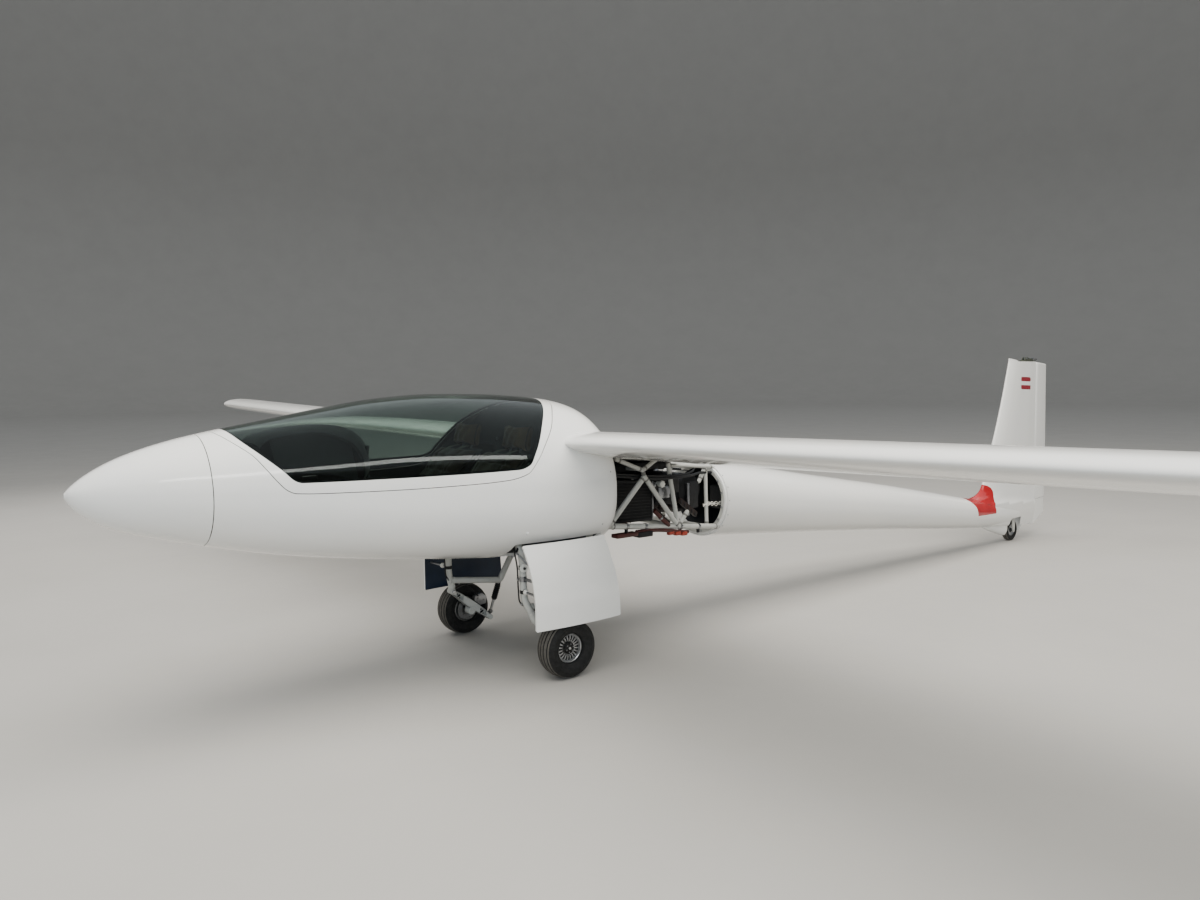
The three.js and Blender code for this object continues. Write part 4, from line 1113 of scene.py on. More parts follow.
fz = np.concatenate([np.linspace(0.135, 0.40, 14), np.linspace(0.40, 0.70, 49)[1:], np.linspace(0.70, 1.69, 50)[1:]])
fs = Surf(fin_func, fz, FIN_R)
fs.clip(tail_well)
fs.clip(lambda p: patch_outline(p) + 0.005, paint=2)
fs.clip(lambda p: patch_outline(p), paint=3, where=(2,))


def bars(p):
    y, z = p[..., 1], p[..., 2]
    out = np.full(y.shape, -1.0)
    for z0, z1 in ((1.506, 1.547), (1.430, 1.470)):
        sl = (y - 3.645) * -0.03
        out = np.maximum(out, np.minimum.reduce([y - 3.645, 3.835 - y, z - z0 - sl, z1 + sl - z]))
    return out


fs.clip(bars, paint=4)
fs.build("fin_skin", [MAT_WHITE, MAT_LINING, MAT_FILMEDGE, MAT_RED, MAT_DARKRED], thick=0.004, inner_mat=1, slot="gelcoat")

# fin top: flat rib with a raised front lip; aft spar web
s = Soup(MAT_WHITE, MAT_LINING)
rr = np.linspace(0, 1, 30)
top = [fin_func(np.float64(1.69), w) for w in np.concatenate([-rr[::-1], rr[1:]])]
ring_loft(s, [[(p[0] * 0.99, p[1], 1.684) for p in top], [(p[0] * 0.99, p[1], 1.6885) for p in top]], 0)
lip = [p for p in top if p[1] < 3.60]
outer_l = [(p[0], p[1], 0) for p in lip]
inner_l = [(p[0] * 0.72, p[1] + 0.010, 0) for p in lip]
hgt = lambda y: 0.0005 + 0.028 * max(0.0, 1 - (y - 3.492) / 0.105) ** 0.6
n = len(outer_l)
verts = [(x, y, 1.689) for x, y, _ in outer_l] + [(x, y, 1.689 + hgt(y)) for x, y, _ in outer_l] + [(x, y, 1.689 + hgt(y)) for x, y, _ in inner_l] + [(x, y, 1.689) for x, y, _ in inner_l]
faces = []
for k in range(n - 1):
    faces += [(k, k + 1, n + k + 1, n + k), (n + k, n + k + 1, 2 * n + k + 1, 2 * n + k), (2 * n + k, 2 * n + k + 1, 3 * n + k + 1, 3 * n + k), (3 * n + k, 3 * n + k + 1, k + 1, k)]
faces += [(0, n, 2 * n, 3 * n), (n - 1, 4 * n - 1, 3 * n - 1, 2 * n - 1)]
s.add(verts, faces, 0, True)
web = []
for z in np.linspace(0.15, 1.685, 24):
    hx = abs(float(fin_func(np.float64(z), 1.0)[0])) - 0.001
    web.append([(-hx, FIN_END - 0.004, z), (hx, FIN_END - 0.004, z), (hx, FIN_END - 0.0005, z), (-hx, FIN_END - 0.0005, z)])
ring_loft(s, web, 0)
s.make("fin_ribs", "airframe", (), "gelcoat", 30)

# tail wheel fairing, ahead of and behind the wheel
s = Soup(MAT_WHITE, MAT_RUBBER)
fair_rows = [(3.060, 0.250, 0.182, 0.006), (3.100, 0.250, 0.164, 0.020), (3.160, 0.250, 0.143, 0.034), (3.240, 0.250, 0.118, 0.044), (3.330, 0.250, 0.091, 0.050), (3.400, 0.250, 0.071, 0.053), (3.434, 0.250, 0.062, 0.053)]
rear_rows = [(3.690, 0.245, 0.078, 0.050), (3.712, 0.242, 0.084, 0.046), (3.745, 0.236, 0.098, 0.036), (3.790, 0.228, 0.118, 0.020), (3.835, 0.222, 0.134, 0.006)]


def wedge(row):
    y, zt, zb, h = row
    pts = []
    for k in range(21):
        t = -1 + 2 * k / 20
        pts.append((h * t, y, zb + (zt - zb) * (0.0 + 0.30 * abs(t) ** 3.0) if abs(t) < 1 else zb + (zt - zb) * 0.30))
    return pts + [(h, y, zt), (-h, y, zt)]


for rows in (fair_rows, rear_rows):
    ys = np.linspace(rows[0][0], rows[-1][0], 26)
    cols = [pchip([r[0] for r in rows], [r[k] for r in rows]) for k in (1, 2, 3)]
    ring_loft(s, [wedge((y, *[float(c(y)) for c in cols])) for y in ys], 0)
s.make("tail_wheel_fairing", "airframe", (), "gelcoat", 40)

# boom mouth: recessed flange, screws
s = Soup(MAT_WHITE, MAT_STEEL, MAT_BLACK)


def boom_ring(y, inset, n=72):
    pts = []
    f = Inset(boom_hull, inset)
    for k in range(n):
        p = f(np.float64(y), np.float64((k + 0.5) / n))
        pts.append((float(p[0]), y, float(p[2])))
    return pts


prof = [(BOOM_FRONT + 0.030, 0.0063), (BOOM_FRONT + 0.0005, 0.0062), (BOOM_FRONT - 0.001, 0.0085), (BOOM_FRONT - 0.016, 0.0095), (BOOM_FRONT - 0.0175, 0.0115), (BOOM_FRONT - 0.0175, 0.041), (BOOM_FRONT - 0.015, 0.044), (BOOM_FRONT + 0.030, 0.0465), (BOOM_FRONT + 0.030, 0.040),
        (BOOM_FRONT - 0.012, 0.038), (BOOM_FRONT - 0.012, 0.014), (BOOM_FRONT + 0.030, 0.013)]
ring_loft(s, [boom_ring(y, d) for y, d in prof] + [boom_ring(*prof[0])], 0, False, False)
for k in range(18):
    a = (k + 0.5) / 18
    p = boom_hull(np.float64(BOOM_FRONT + 0.014), np.float64(a))
    q = Inset(boom_hull, 0.01)(np.float64(BOOM_FRONT + 0.014), np.float64(a))
    d = (Vector(p) - Vector(q)).normalized()
    s.turn([(0.0002, 0.0012), (0.0035, 0.0010), (0.0042, 0.0004), (0.0042, -0.001)], Vector(p), d, 10, 1)
s.make("boom_flange", "airframe", (), "gelcoat", 40)

# rudder
RUD_PLAN = []
for k in range(13):
    t = math.pi + math.pi * k / 12
    RUD_PLAN.append((RUDDER_NOSE * math.cos(t), HINGE_Y + RUDDER_NOSE * math.sin(t)))
for c in (0.12, 0.3, 0.5, 0.7, 0.85, 0.95, 1.0):
    RUD_PLAN.append((lerp(RUDDER_NOSE, 0.0022, c) + 0.0025 * math.sin(math.pi * c), lerp(HINGE_Y, TAIL_Y, c)))
for c in (1.0, 0.95, 0.85, 0.7, 0.5, 0.3, 0.12):
    RUD_PLAN.append((-(lerp(RUDDER_NOSE, 0.0022, c) + 0.0025 * math.sin(math.pi * c)), lerp(HINGE_Y, TAIL_Y, c)))
s = Soup(MAT_WHITE, MAT_SEAM)


def rud_z(y, top):
    if top:
        return 1.684 - max(0.0, y - 3.99) / 0.22 * 0.016
    return 0.116 if y < 3.958 else lerp(0.116, 0.212, min(1.0, (y - 3.958) / 0.252))


rings = []
for t in np.concatenate([[0, 0.002, 0.006], np.linspace(0.012, 0.988, 40), [0.994, 0.998, 1.0]]):
    sh = 1 - 0.35 * max(0.0, 1 - min(t, 1 - t) / 0.006) ** 2
    ring = []
    for x, y in RUD_PLAN:
        z = lerp(rud_z(y, False), rud_z(y, True), t)
        k = max(0.0, (y - HINGE_Y) / (TAIL_Y - HINGE_Y))
        ring.append((x * sh, y - k * 0.024 * min(1.0, max(0.0, (z - 0.9) / 0.77)), z))
    rings.append(ring)
ring_loft(s, rings, 0)
s.make("rudder_skin", "rudder", ("rudder",), "gelcoat", 30)
# thin tape seam low on the rudder
s = Soup(MAT_SEAM)
for z in (0.360,):
    ring = [(x * 1.012 + (0.0004 if x > 0 else -0.0004), y, z + (y - 4.0) * 0.02) for x, y in RUD_PLAN if y > HINGE_Y + 0.01]
    half = len(ring) // 2
    for seg in (ring[:half], ring[half:]):
        pts = [Vector(p) for p in seg]
        s.tube(pts, 0.0011, 6, 0)
s.make("rudder_tape", "rudder", (), "gelcoat", 30)

# bare tailplane fitting
s = Soup(MAT_FITTING, MAT_STEEL, MAT_RUBBER)
s.box((-0.022, 3.722, 1.6905), (0.022, 3.930, 1.702), 0, 0.002)
for x0, x1 in ((-0.016, -0.010), (0.010, 0.016)):
    s.prism([(x0, 3.745, 1.702), (x0, 3.760, 1.730), (x0, 3.800, 1.7335), (x0, 3.840, 1.718), (x0, 3.905, 1.730), (x0, 3.925, 1.702)], (x1 - x0, 0, 0), 0, 0.001)
s.rod((-0.026, 3.778, 1.720), (0.026, 3.778, 1.720), 0.007, 16, 1, 0.0015)
s.rod((-0.030, 3.890, 1.719), (0.030, 3.890, 1.719), 0.009, 16, 1, 0.0015)
s.rod((0, 3.800, 1.716), (0, 3.880, 1.712), 0.005, 12, 1)
for y in (3.735, 3.915):
    for x in (-0.015, 0.015):
        s.turn([(0.0001, 0.005), (0.005, 0.005), (0.0055, 0.0), (0.0055, -0.001)], (x, y, 1.702), (0, 0, 1), 6, 1)
s.tube(smooth_path([(0.012, 3.93, 1.700), (0.016, 3.955, 1.716), (0.010, 3.985, 1.712), (-0.004, 3.975, 1.700), (-0.014, 3.95, 1.706)], 6), 0.0022, 8, 2)
s.prism([(-0.010, 3.600, 1.6895), (0.010, 3.600, 1.6895), (0.010, 3.600, 1.700), (-0.010, 3.600, 1.700)], (0, 0.030, 0), 0, 0.001)
s.make("tailplane_fitting_detail", "airframe", ("tailplane_fitting",), "fitting_metal", 40)


# ------------------------------------------------------------------ cockpit
hull_cols = [fair(FRONT[:, 0], FRONT[:, k], 0.05, 0.12) for k in range(1, 7)]


def half_at(y, z, inset=0.0):
    """half width of the front hull at a station and height."""
    top, bot, half, mid, nt, nb = [float(c(y)) for c in hull_cols]
    e, q = (nt, (z - mid) / (top - mid)) if z > mid else (nb, (mid - z) / (mid - bot))
    q = min(max(q, 0.0), 1.0)
    return max(0.01, half * (1 - q ** e) ** (1 / e) - inset)


def finer(pts, step):
    out = []
    for (y0, z0), (y1, z1) in zip(pts[:-1], pts[1:]):
        k = max(1, int(math.hypot(y1 - y0, z1 - z0) / step))
        out += [(lerp(y0, y1, i / k), lerp(z0, z1, i / k)) for i in range(k)]
    return out + [pts[-1]]


def sheet_floor(soup, line, inset, thick, mat):
    rings = []
    for y, z in finer(line, 0.04):
        h = half_at(y, z, inset)
        rings.append([(-h, y, z), (h, y, z), (h, y, z - thick), (-h, y, z - thick)])
    ring_loft(soup, rings, mat)


s = Soup(MAT_CARPET, MAT_LINING, MAT_STEEL)
sheet_floor(s, [(-3.325, 0.776), (-2.290, 0.776)], 0.030, 0.010, 0)
sheet_floor(s, [(-2.290, 0.892), (-1.665, 0.892)], 0.030, 0.010, 0)
rings = []
for z in np.linspace(0.766, 0.892, 5):
    h = half_at(-2.29, z, 0.030)
    rings.append([(-h, -2.293, z), (h, -2.293, z), (h, -2.281, z), (-h, -2.281, z)])
ring_loft(s, rings, 1)
for sx in (-1, 1):
    for x in (0.105, 0.225):   # pedals
        s.box((sx * x - 0.035, -3.235, 0.812), (sx * x + 0.035, -3.222, 0.905), 2, 0.004)
        s.tube(smooth_path([(sx * x, -3.226, 0.82), (sx * x, -3.18, 0.795), (sx * x, -3.10, 0.785)], 4), 0.007, 10, 2)
s.make("cockpit_carpets", "airframe", ("cockpit_floor",), "cockpit_dark", 30)

s = Soup(MAT_LINING, MAT_BLACK, MAT_STEEL, MAT_WEB)
rings = []
for y, z in finer([(-2.004, 0.893), (-2.004, 1.275), (-1.944, 1.424)], 0.03):
    h = half_at(y, z, 0.026)
    rings.append([(-h, y - 0.012, z), (h, y - 0.012, z), (h, y + 0.012, z), (-h, y + 0.012, z)])
ring_loft(s, rings, 0)
for sx in (-1, 1):
    s.box((sx * 0.268 - 0.14, -2.030, 0.96), (sx * 0.268 + 0.14, -2.016, 1.20), 1, 0.006)
    for x in (0.10, 0.44):
        s.turn([(0.0001, 0.006), (0.008, 0.006), (0.010, 0.002), (0.010, -0.001)], (sx * x, -2.0165, 1.235), (0, -1, 0), 14, 2)
s.make("aft_wall_trim", "airframe", ("rear_bulkhead",), "cockpit_dark", 30)

# instrument hood: crowned over the panel, with a rolled rear lip
HOOD_TOP = [(-3.435, 1.300), (-3.40, 1.326), (-3.30, 1.346), (-3.20, 1.357), (-3.10, 1.360), (-3.01, 1.350), (-2.950, 1.322), (-2.915, 1.280), (-2.900, 1.215), (-2.902, 1.150), (-2.915, 1.120)]
ht = smooth_path([(0, y, z) for y, z in HOOD_TOP], 5)
s = Soup(MAT_HOOD, MAT_BLACK, MAT_DIALFACE, MAT_CREAM, MAT_STEEL, MAT_RED)
cx = np.linspace(-1, 1, 49)
outer, inner = [], []
for p in ht:
    y, z = p.y, p.z
    hx = min(0.400, half_at(y, z, 0.066))
    row, low = [], []
    for c in cx:
        drop = 0.10 * (abs(c) ** 3.2) * (z - 1.10)
        z1 = z - drop
        sweep = 0.135 * abs(c) ** 2.2 * max(0.0, min(1.0, (y + 3.30) / 0.30))
        top = float(hull_cols[0](y))
        row.append((c * hx, y - sweep, z1))
        low.append((c * (hx - 0.005), y - 0.009 - sweep, z1 - 0.012))
    outer.append(row)
    inner.append(low)
rings = [o + i[::-1] for o, i in zip(outer, inner)]
ring_loft(s, rings, 0)
# side cheeks and the panel face
face = [(-2.960, 1.262), (-2.985, 1.120), (-3.005, 1.020), (-3.018, 0.958)]
fx = 0.280
rings = []
for y, z in finer(face, 0.03):
    hx = min(fx, half_at(y, z, 0.066))
    rings.append([(-hx, y, z), (hx, y, z), (hx, y - 0.012, z), (-hx, y - 0.012, z)])
ring_loft(s, rings, 1)
for sx in (-1, 1):
    side_pts = [(-3.40, 1.17), (-3.12, 1.13), (-3.10, 0.965), (-3.075, 0.968), (-3.055, 1.10), (-3.060, 1.262), (-3.11, 1.325), (-3.20, 1.338), (-3.40, 1.300)]
    s.prism([(sx * min(0.372, half_at(y, z, 0.08)), y, z) for y, z in side_pts], (-sx * 0.006, 0, 0), 1)


def on_panel(x, t, out=0.0):
    """t: 0 at the top of the panel face, 1 at its foot."""
    (y0, z0), (y1, z1) = face[0], face[-1]
    d = Vector((0, y1 - y0, z1 - z0)).normalized()
    nrm = Vector((0, -d.z, d.y))
    if nrm.y < 0:
        nrm = -nrm
    return Vector((x, lerp(y0, y1, t), lerp(z0, z1, t))) + nrm * out, nrm


def dial(soup, x, t, r, needle=0.6, ticks=24):
    p, nrm = on_panel(x, t, 0.001)
    soup.turn([(r * 0.86, 0.0005), (r * 0.90, 0.004), (r, 0.0055), (r * 1.06, 0.0035), (r * 1.08, 0.0)], p, nrm, 28, 4)
    soup.turn([(0.0001, 0.0012), (r * 0.88, 0.0012)], p, nrm, 28, 2)
    ux = Vector((1, 0, 0))
    uy = nrm.cross(ux)
    for k in range(ticks):
        a = 2 * math.pi * k / ticks
        d = ux * math.cos(a) + uy * math.sin(a)
        q = nrm.cross(d)
        r0, r1, w = r * (0.66 if k % 4 == 0 else 0.74), r * 0.83, r * (0.020 if k % 4 == 0 else 0.010)
        c = p + nrm * 0.0016
        soup.add([c + d * r0 - q * w, c + d * r1 - q * w, c + d * r1 + q * w, c + d * r0 + q * w], [(0, 1, 2, 3)], 3, False)
    a = needle * 2 * math.pi
    d = ux * math.cos(a) + uy * math.sin(a)
    q = nrm.cross(d)
    c = p + nrm * 0.0024
    soup.add([c - d * r * 0.16 - q * r * 0.03, c + d * r * 0.62, c - d * r * 0.16 + q * r * 0.03], [(0, 1, 2)], 3, False)


for sx in (-1, 1):
    for k, (x, t, r) in enumerate(((0.225, 0.26, 0.038), (0.130, 0.26, 0.038), (0.225, 0.55, 0.038), (0.130, 0.55, 0.031))):
        dial(s, sx * x, t, r, 0.2 + 0.13 * k + (0.05 if sx > 0 else 0))
p, nrm = on_panel(0.0, 0.32, 0.002)
s.box((-0.070, -0.002, -0.048), (0.070, 0.004, 0.048), 2, 0.003, Matrix.Translation(p) @ Vector((0, 1, 0)).rotation_difference(nrm).to_matrix().to_4x4())
for k in range(7):
    p, nrm = on_panel(-0.075 + 0.025 * k, 0.62, 0.001)
    s.turn([(0.0045, 0.0), (0.0045, 0.004), (0.002, 0.005), (0.0018, 0.016), (0.0001, 0.017)], p, nrm, 10, 5 if k == 3 else 4)
for sx in (-1, 1):
    for k in range(3):
        p, nrm = on_panel(sx * 0.33, 0.50 + 0.12 * k, 0.001)
        s.turn([(0.010, 0.0), (0.0095, 0.010), (0.007, 0.013), (0.0001, 0.0135)], p, nrm, 16, 1)
s.make("instrument_hood", "airframe", ("instrument_panel",), "instrument_black", 32)

s = Soup(MAT_LINING, MAT_BLACK, MAT_STEEL, MAT_RED, MAT_CREAM)
con = [(-3.316, 0.782), (-3.316, 0.896), (-2.962, 0.897), (-2.760, 0.903), (-2.622, 0.932), (-2.152, 0.932), (-2.152, 0.893), (-2.286, 0.893), (-2.286, 0.782)]
s.prism([(-0.049, y, z) for y, z in con], (0.098, 0, 0), 0, 0.008)
s.box((-0.036, -2.93, 0.897), (0.036, -2.70, 0.909), 1, 0.004, Matrix.Rotation(0.0, 4, "X"))
for k, (y, col) in enumerate(((-2.90, 4), (-2.85, 3), (-2.80, 2), (-2.75, 2))):
    s.turn([(0.011, 0.0), (0.010, 0.014), (0.013, 0.018), (0.013, 0.024), (0.0001, 0.026)], (0.018 if k % 2 else -0.018, y, 0.905), (0, 0, 1), 18, col)
for x in (-0.024, 0.024):
    s.box((x - 0.004, -2.60, 0.925), (x + 0.004, -2.48, 0.937), 1, 0.002)
    s.tube(smooth_path([(x, -2.54, 0.93), (x, -2.52, 0.98), (x, -2.50, 1.00)], 4), 0.006, 10, 2)
    s.turn([(0.0001, 0.014), (0.010, 0.010), (0.013, 0.0), (0.010, -0.010), (0.0001, -0.014)], (x, -2.497, 1.008), (0, 0, 1), 16, 1 if x < 0 else 3)
s.make("console_trim", "airframe", ("centre_console",), "cockpit_dark", 32)

# sticks
s = Soup(MAT_BLACK, MAT_STEEL, MAT_RUBBER, MAT_RED)
s.tube(smooth_path([(0.268, -2.755, 0.880), (0.268, -2.737, 0.965), (0.268, -2.730, 1.000)], 6), 0.0095, 16, 1)
grip = smooth_path([(0.268, -2.730, 0.995), (0.268, -2.733, 1.030), (0.268, -2.743, 1.060), (0.268, -2.756, 1.086)], 5)
s.tube(grip, [0.013, 0.0155, 0.0145, 0.0150, 0.0160, 0.0150, 0.0140, 0.0145, 0.0155, 0.0165, 0.0165, 0.0165, 0.0165, 0.0160, 0.0135, 0.0070][:len(grip)] + [0.006] * max(0, len(grip) - 16), 18, 0)
s.turn([(0.005, 0), (0.0048, 0.004), (0.0001, 0.005)], (0.268, -2.762, 1.088), (0, -0.4, 1), 12, 3)
boot = [(0.026, 0.868), (0.0265, 0.872), (0.0235, 0.876), (0.0255, 0.880), (0.0215, 0.885), (0.0235, 0.889), (0.0185, 0.894), (0.0205, 0.898), (0.0150, 0.903), (0.0110, 0.909)]
s.turn([(r, z - 0.868) for r, z in boot], (0.268, -2.757, 0.868), (0, 0.08, 1), 24, 2)
both(s, "stick_grip_{}", "airframe", ("control_stick_{}",), "instrument_black", 40)


# ------------------------------------------------------------------ seats
def crowned(name, length_pts, x0, x1, thick, crown, mat, node=None, channels=0, side_in=0.012, seed=1, head=False, slot="upholstery"):
    """A cushion on a centre line of (y, z) points: closed, crowned, its sides pulled in between corners, welted and channelled."""
    outer_side = 1 if x0 + x1 > 0 else -1

    def fit_x(x, y, z):
        lim = half_at(y, z - thick * 0.7, 0.034)
        far = max(abs(x0), abs(x1))
        if lim >= far or x * outer_side < 0:
            return x
        near = min(abs(x0), abs(x1))
        return outer_side * (near + (abs(x) - near) * (lim - near) / (far - near))

    line = smooth_path([(0, y, z) for y, z in length_pts], 10)
    L = [0.0]
    for a, b in zip(line[:-1], line[1:]):
        L.append(L[-1] + (b - a).length)
    total = L[-1]
    nu, nv = ((84, 64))
    rng = random.Random(seed)
    ph = [rng.uniform(0, 6.28) for _ in range(8)]

    def at(t):
        d = t * total
        k = min(len(L) - 2, max(0, int(np.searchsorted(L, d)) - 1))
        f = (d - L[k]) / max(1e-9, L[k + 1] - L[k])
        p = line[k].lerp(line[k + 1], f)
        tn = (line[k + 1] - line[k]).normalized()
        return p, tn

    verts, faces = [], []
    xc, hw = (x0 + x1) / 2, (x1 - x0) / 2
    rows = []
    for side_ in (1, -1):
        for i in range(nu + 1):
            for j in range(nv + 1):
                u, v = i / nu, -1 + 2 * j / nv
                # bunch samples at the border
                u = 0.5 - 0.5 * math.cos(math.pi * u) * (0.75 + 0.25 * abs(math.cos(math.pi * u)))
                v = math.sin(v * math.pi / 2) * (0.8 + 0.2 * abs(v))
                p, tn = at(u)
                nrm = Vector((0, -tn.z, tn.y))
                eu, ev = 1 - abs(2 * u - 1), 1 - abs(v)
                edge = (1 - (1 - min(1, eu * 2.6)) ** 2.6) ** (1 / 2.6) * (1 - (1 - min(1, ev * 2.2)) ** 2.6) ** (1 / 2.6)
                h = thick / 2 * edge
                pull = side_in * (1 - (2 * u - 1) ** 4) * abs(v) ** 3
                pull_u = side_in * 0.8 * (1 - v ** 4) * (abs(2 * u - 1) ** 5) * (1 if u > 0.5 else -1)
                q = p - tn * pull_u
                if side_ > 0:
                    h += crown * edge * (1 - v * v) * (1 - (2 * u - 1) ** 2) ** 0.5
                    h += 0.0022 * edge * (math.sin(9 * u + 5 * v + ph[0]) + math.sin(-7 * u + 11 * v + ph[1]) + 0.5 * math.sin(23 * u + 3 * v + ph[2]))
                    for c in range(channels):
                        cu = (c + 1) / (channels + 1)
                        h -= 0.011 * math.exp(-((u - cu) * total / 0.0075) ** 2) * min(1.0, ev * 5)
                        h += 0.0035 * math.exp(-((u - cu) * total / 0.030) ** 2) * min(1.0, ev * 5)
                    if not head:
                        for cv in (-0.58, 0.58):
                            h -= 0.010 * math.exp(-((v - cv) * hw / 0.0065) ** 2) * min(1.0, eu * 6)
                verts.append(Vector((fit_x(xc + v * (hw - pull), q.y, q.z), q.y, q.z)) + nrm * (h if side_ > 0 else -h * 0.85))
    cnt = (nu + 1) * (nv + 1)
    for sd in (0, 1):
        for i in range(nu):
            for j in range(nv):
                a = sd * cnt + i * (nv + 1) + j
                f = (a, a + 1, a + nv + 2, a + nv + 1)
                faces.append(f if sd else tuple(reversed(f)))
    bm = bmesh.new()
    bv = [bm.verts.new(v) for v in verts]
    for f in faces:
        bm.faces.new([bv[i] for i in f])
    bmesh.ops.remove_doubles(bm, verts=bm.verts, dist=0.0004)
    bmesh.ops.recalc_face_normals(bm, faces=bm.faces)
    me = bpy.data.meshes.new(name)
    bm.to_mesh(me)
    bm.free()
    for poly in me.polygons:
        poly.use_smooth = True
    me.materials.append(mat.m)
    ob = bpy.data.objects.new(name, me)
    bpy.context.scene.collection.objects.link(ob)
    place(ob, "airframe", (node,) if node else ())
    # welt round the rim
    s = Soup(MAT_PIPING)
    rim_pts = []
    N = 40
    for k in range(4):
        for i in range(N):
            t = i / N
            if k == 0:
                u, v = t, -1.0
            elif k == 1:
                u, v = 1.0, -1 + 2 * t
            elif k == 2:
                u, v = 1 - t, 1.0
            else:
                u, v = 0.0, 1 - 2 * t
            p, tn = at(u)
            pull = side_in * (1 - (2 * u - 1) ** 4) * abs(v) ** 3
            pull_u = side_in * 0.8 * (1 - v ** 4) * (abs(2 * u - 1) ** 5) * (1 if u > 0.5 else -1)
            q = p - tn * pull_u
            rim_pts.append(Vector((fit_x(xc + v * (hw - pull), q.y, q.z), q.y, q.z)))
    s.tube(rim_pts, 0.0028, 8, 0, closed=True)
    s.make(name + "_welt", "airframe", (), slot, 80)
    return ob


for sd, sg in (("left", 1), ("right", -1)):
    x0, x1 = (0.066, 0.452) if sg > 0 else (-0.452, -0.066)
    crowned("seat_pan_" + sd, [(-2.915, 0.848), (-2.86, 0.842), (-2.74, 0.828), (-2.60, 0.812), (-2.505, 0.815)], x0, x1, 0.068, 0.016, MAT_SEAT, "seat_" + sd, 3, 0.012, 3)
    crowned("seat_back_" + sd, [(-2.475, 0.835), (-2.43, 0.880), (-2.33, 1.005), (-2.23, 1.120), (-2.172, 1.172)], x0, x1, 0.066, 0.014, MAT_SEAT, None, 4, 0.014, 5)
    hx0, hx1 = (0.164, 0.372) if sg > 0 else (-0.372, -0.164)
    crowned("headrest_pad_" + sd, [(-2.118, 1.190), (-2.112, 1.230), (-2.102, 1.275), (-2.090, 1.322)], hx0, hx1, 0.092, 0.020, MAT_HEAD, "headrest_" + sd, 0, 0.026, 9, head=True, slot="headrest_cloth")
    s = Soup(MAT_LINING, MAT_WEB, MAT_STEEL, MAT_BLACK)
    # seat shell under the cushions and belts over them
    shell = [(-2.905, 0.808), (-2.60, 0.775), (-2.50, 0.779), (-2.44, 0.812), (-2.30, 0.985), (-2.135, 1.180)]
    rings = []
    for p in smooth_path([(0, y, z) for y, z in shell], 6):
        lim = half_at(p.y, p.z - 0.03, 0.034)
        a, b = max(-lim, x0), min(lim, x1)
        rings.append([(a, p.y, p.z), (b, p.y, p.z), (b, p.y + 0.004, p.z - 0.008), (a, p.y + 0.004, p.z - 0.008)])
    ring_loft(s, rings, 0)
    xc = (x0 + x1) / 2
    for dx in (-0.062, 0.062):
        path = smooth_path([(xc + dx * 0.9, -2.150, 1.196), (xc + dx, -2.205, 1.184), (xc + dx, -2.262, 1.136), (xc + dx * 1.05, -2.36, 1.018), (xc + dx * 1.15, -2.455, 0.905), (xc + dx * 0.8, -2.545, 0.868), (xc + dx * 0.35, -2.60, 0.872)], 6)
        strip = []
        for i, p in enumerate(path):
            q = path[min(i + 1, len(path) - 1)] - path[max(i - 1, 0)]
            nrm = Vector((0, -q.z, q.y)).normalized()
            strip.append([p + Vector((-0.021, 0, 0)), p + Vector((0.021, 0, 0)), p + Vector((0.021, 0, 0)) + nrm * 0.0018, p + Vector((-0.021, 0, 0)) + nrm * 0.0018])
        ring_loft(s, strip, 1)
    s.box((xc - 0.028, -2.632, 0.871), (xc + 0.028, -2.578, 0.883), 2, 0.004)
    for dx in (-1, 1):
        lap = smooth_path([(xc + dx * 0.02, -2.605, 0.876), (xc + dx * 0.10, -2.595, 0.874), (xc + dx * 0.150, -2.56, 0.858), (xc + dx * 0.168, -2.53, 0.838)], 6)
        lap = [Vector((max(-half_at(q.y, q.z - 0.02, 0.04), min(half_at(q.y, q.z - 0.02, 0.04), q.x)), q.y, q.z)) for q in lap]
        strip = []
        for i, p in enumerate(lap):
            strip.append([p + Vector((0, -0.021, 0)), p + Vector((0, 0.021, 0)), p + Vector((0, 0.021, 0.0018)), p + Vector((0, -0.021, 0.0018))])
        ring_loft(s, strip, 1)
    for dx in (-0.05, 0.05):
        s.rod((xc + dx, -2.13, 1.165), (xc + dx, -2.115, 1.205), 0.006, 10, 2)
    s.make("seat_shell_" + sd, "airframe", (), "cockpit_dark", 40)


# ------------------------------------------------------------------ engine bay
def ball(soup, c, r, mat=0, sides=16):
    n = 8
    soup.turn([(max(0.0001, r * math.sin(math.pi * k / n)), -r * math.cos(math.pi * k / n)) for k in range(n + 1)], c, (1, 0, 0), sides, mat)


def mirrored(p):
    return (-p[0], p[1], p[2])


s = Soup(MAT_STEEL, MAT_WHITE)
for y, z, r, m in ((-1.680, 1.065, 0.0050, 0), (-1.725, 0.779, 0.0050, 0), (-2.226, 0.785, 0.0085, 1)):
    x = half_at(y, z, 0.0)
    e = 0.01
    nrm = Vector((1.0, -(half_at(y + e, z, 0.0) - half_at(y - e, z, 0.0)) / (2 * e), -(half_at(y, z + e, 0.0) - half_at(y, z - e, 0.0)) / (2 * e))).normalized()
    s.turn([(0.0002, 0.0016 if m == 0 else 0.006), (r * 0.8, 0.0012 if m == 0 else 0.004), (r, 0.0004), (r, -0.002)], (x, y, z), tuple(nrm), 16, m)
both(s, "side_screws_{}", "airframe", (), "fitting_metal", 40)


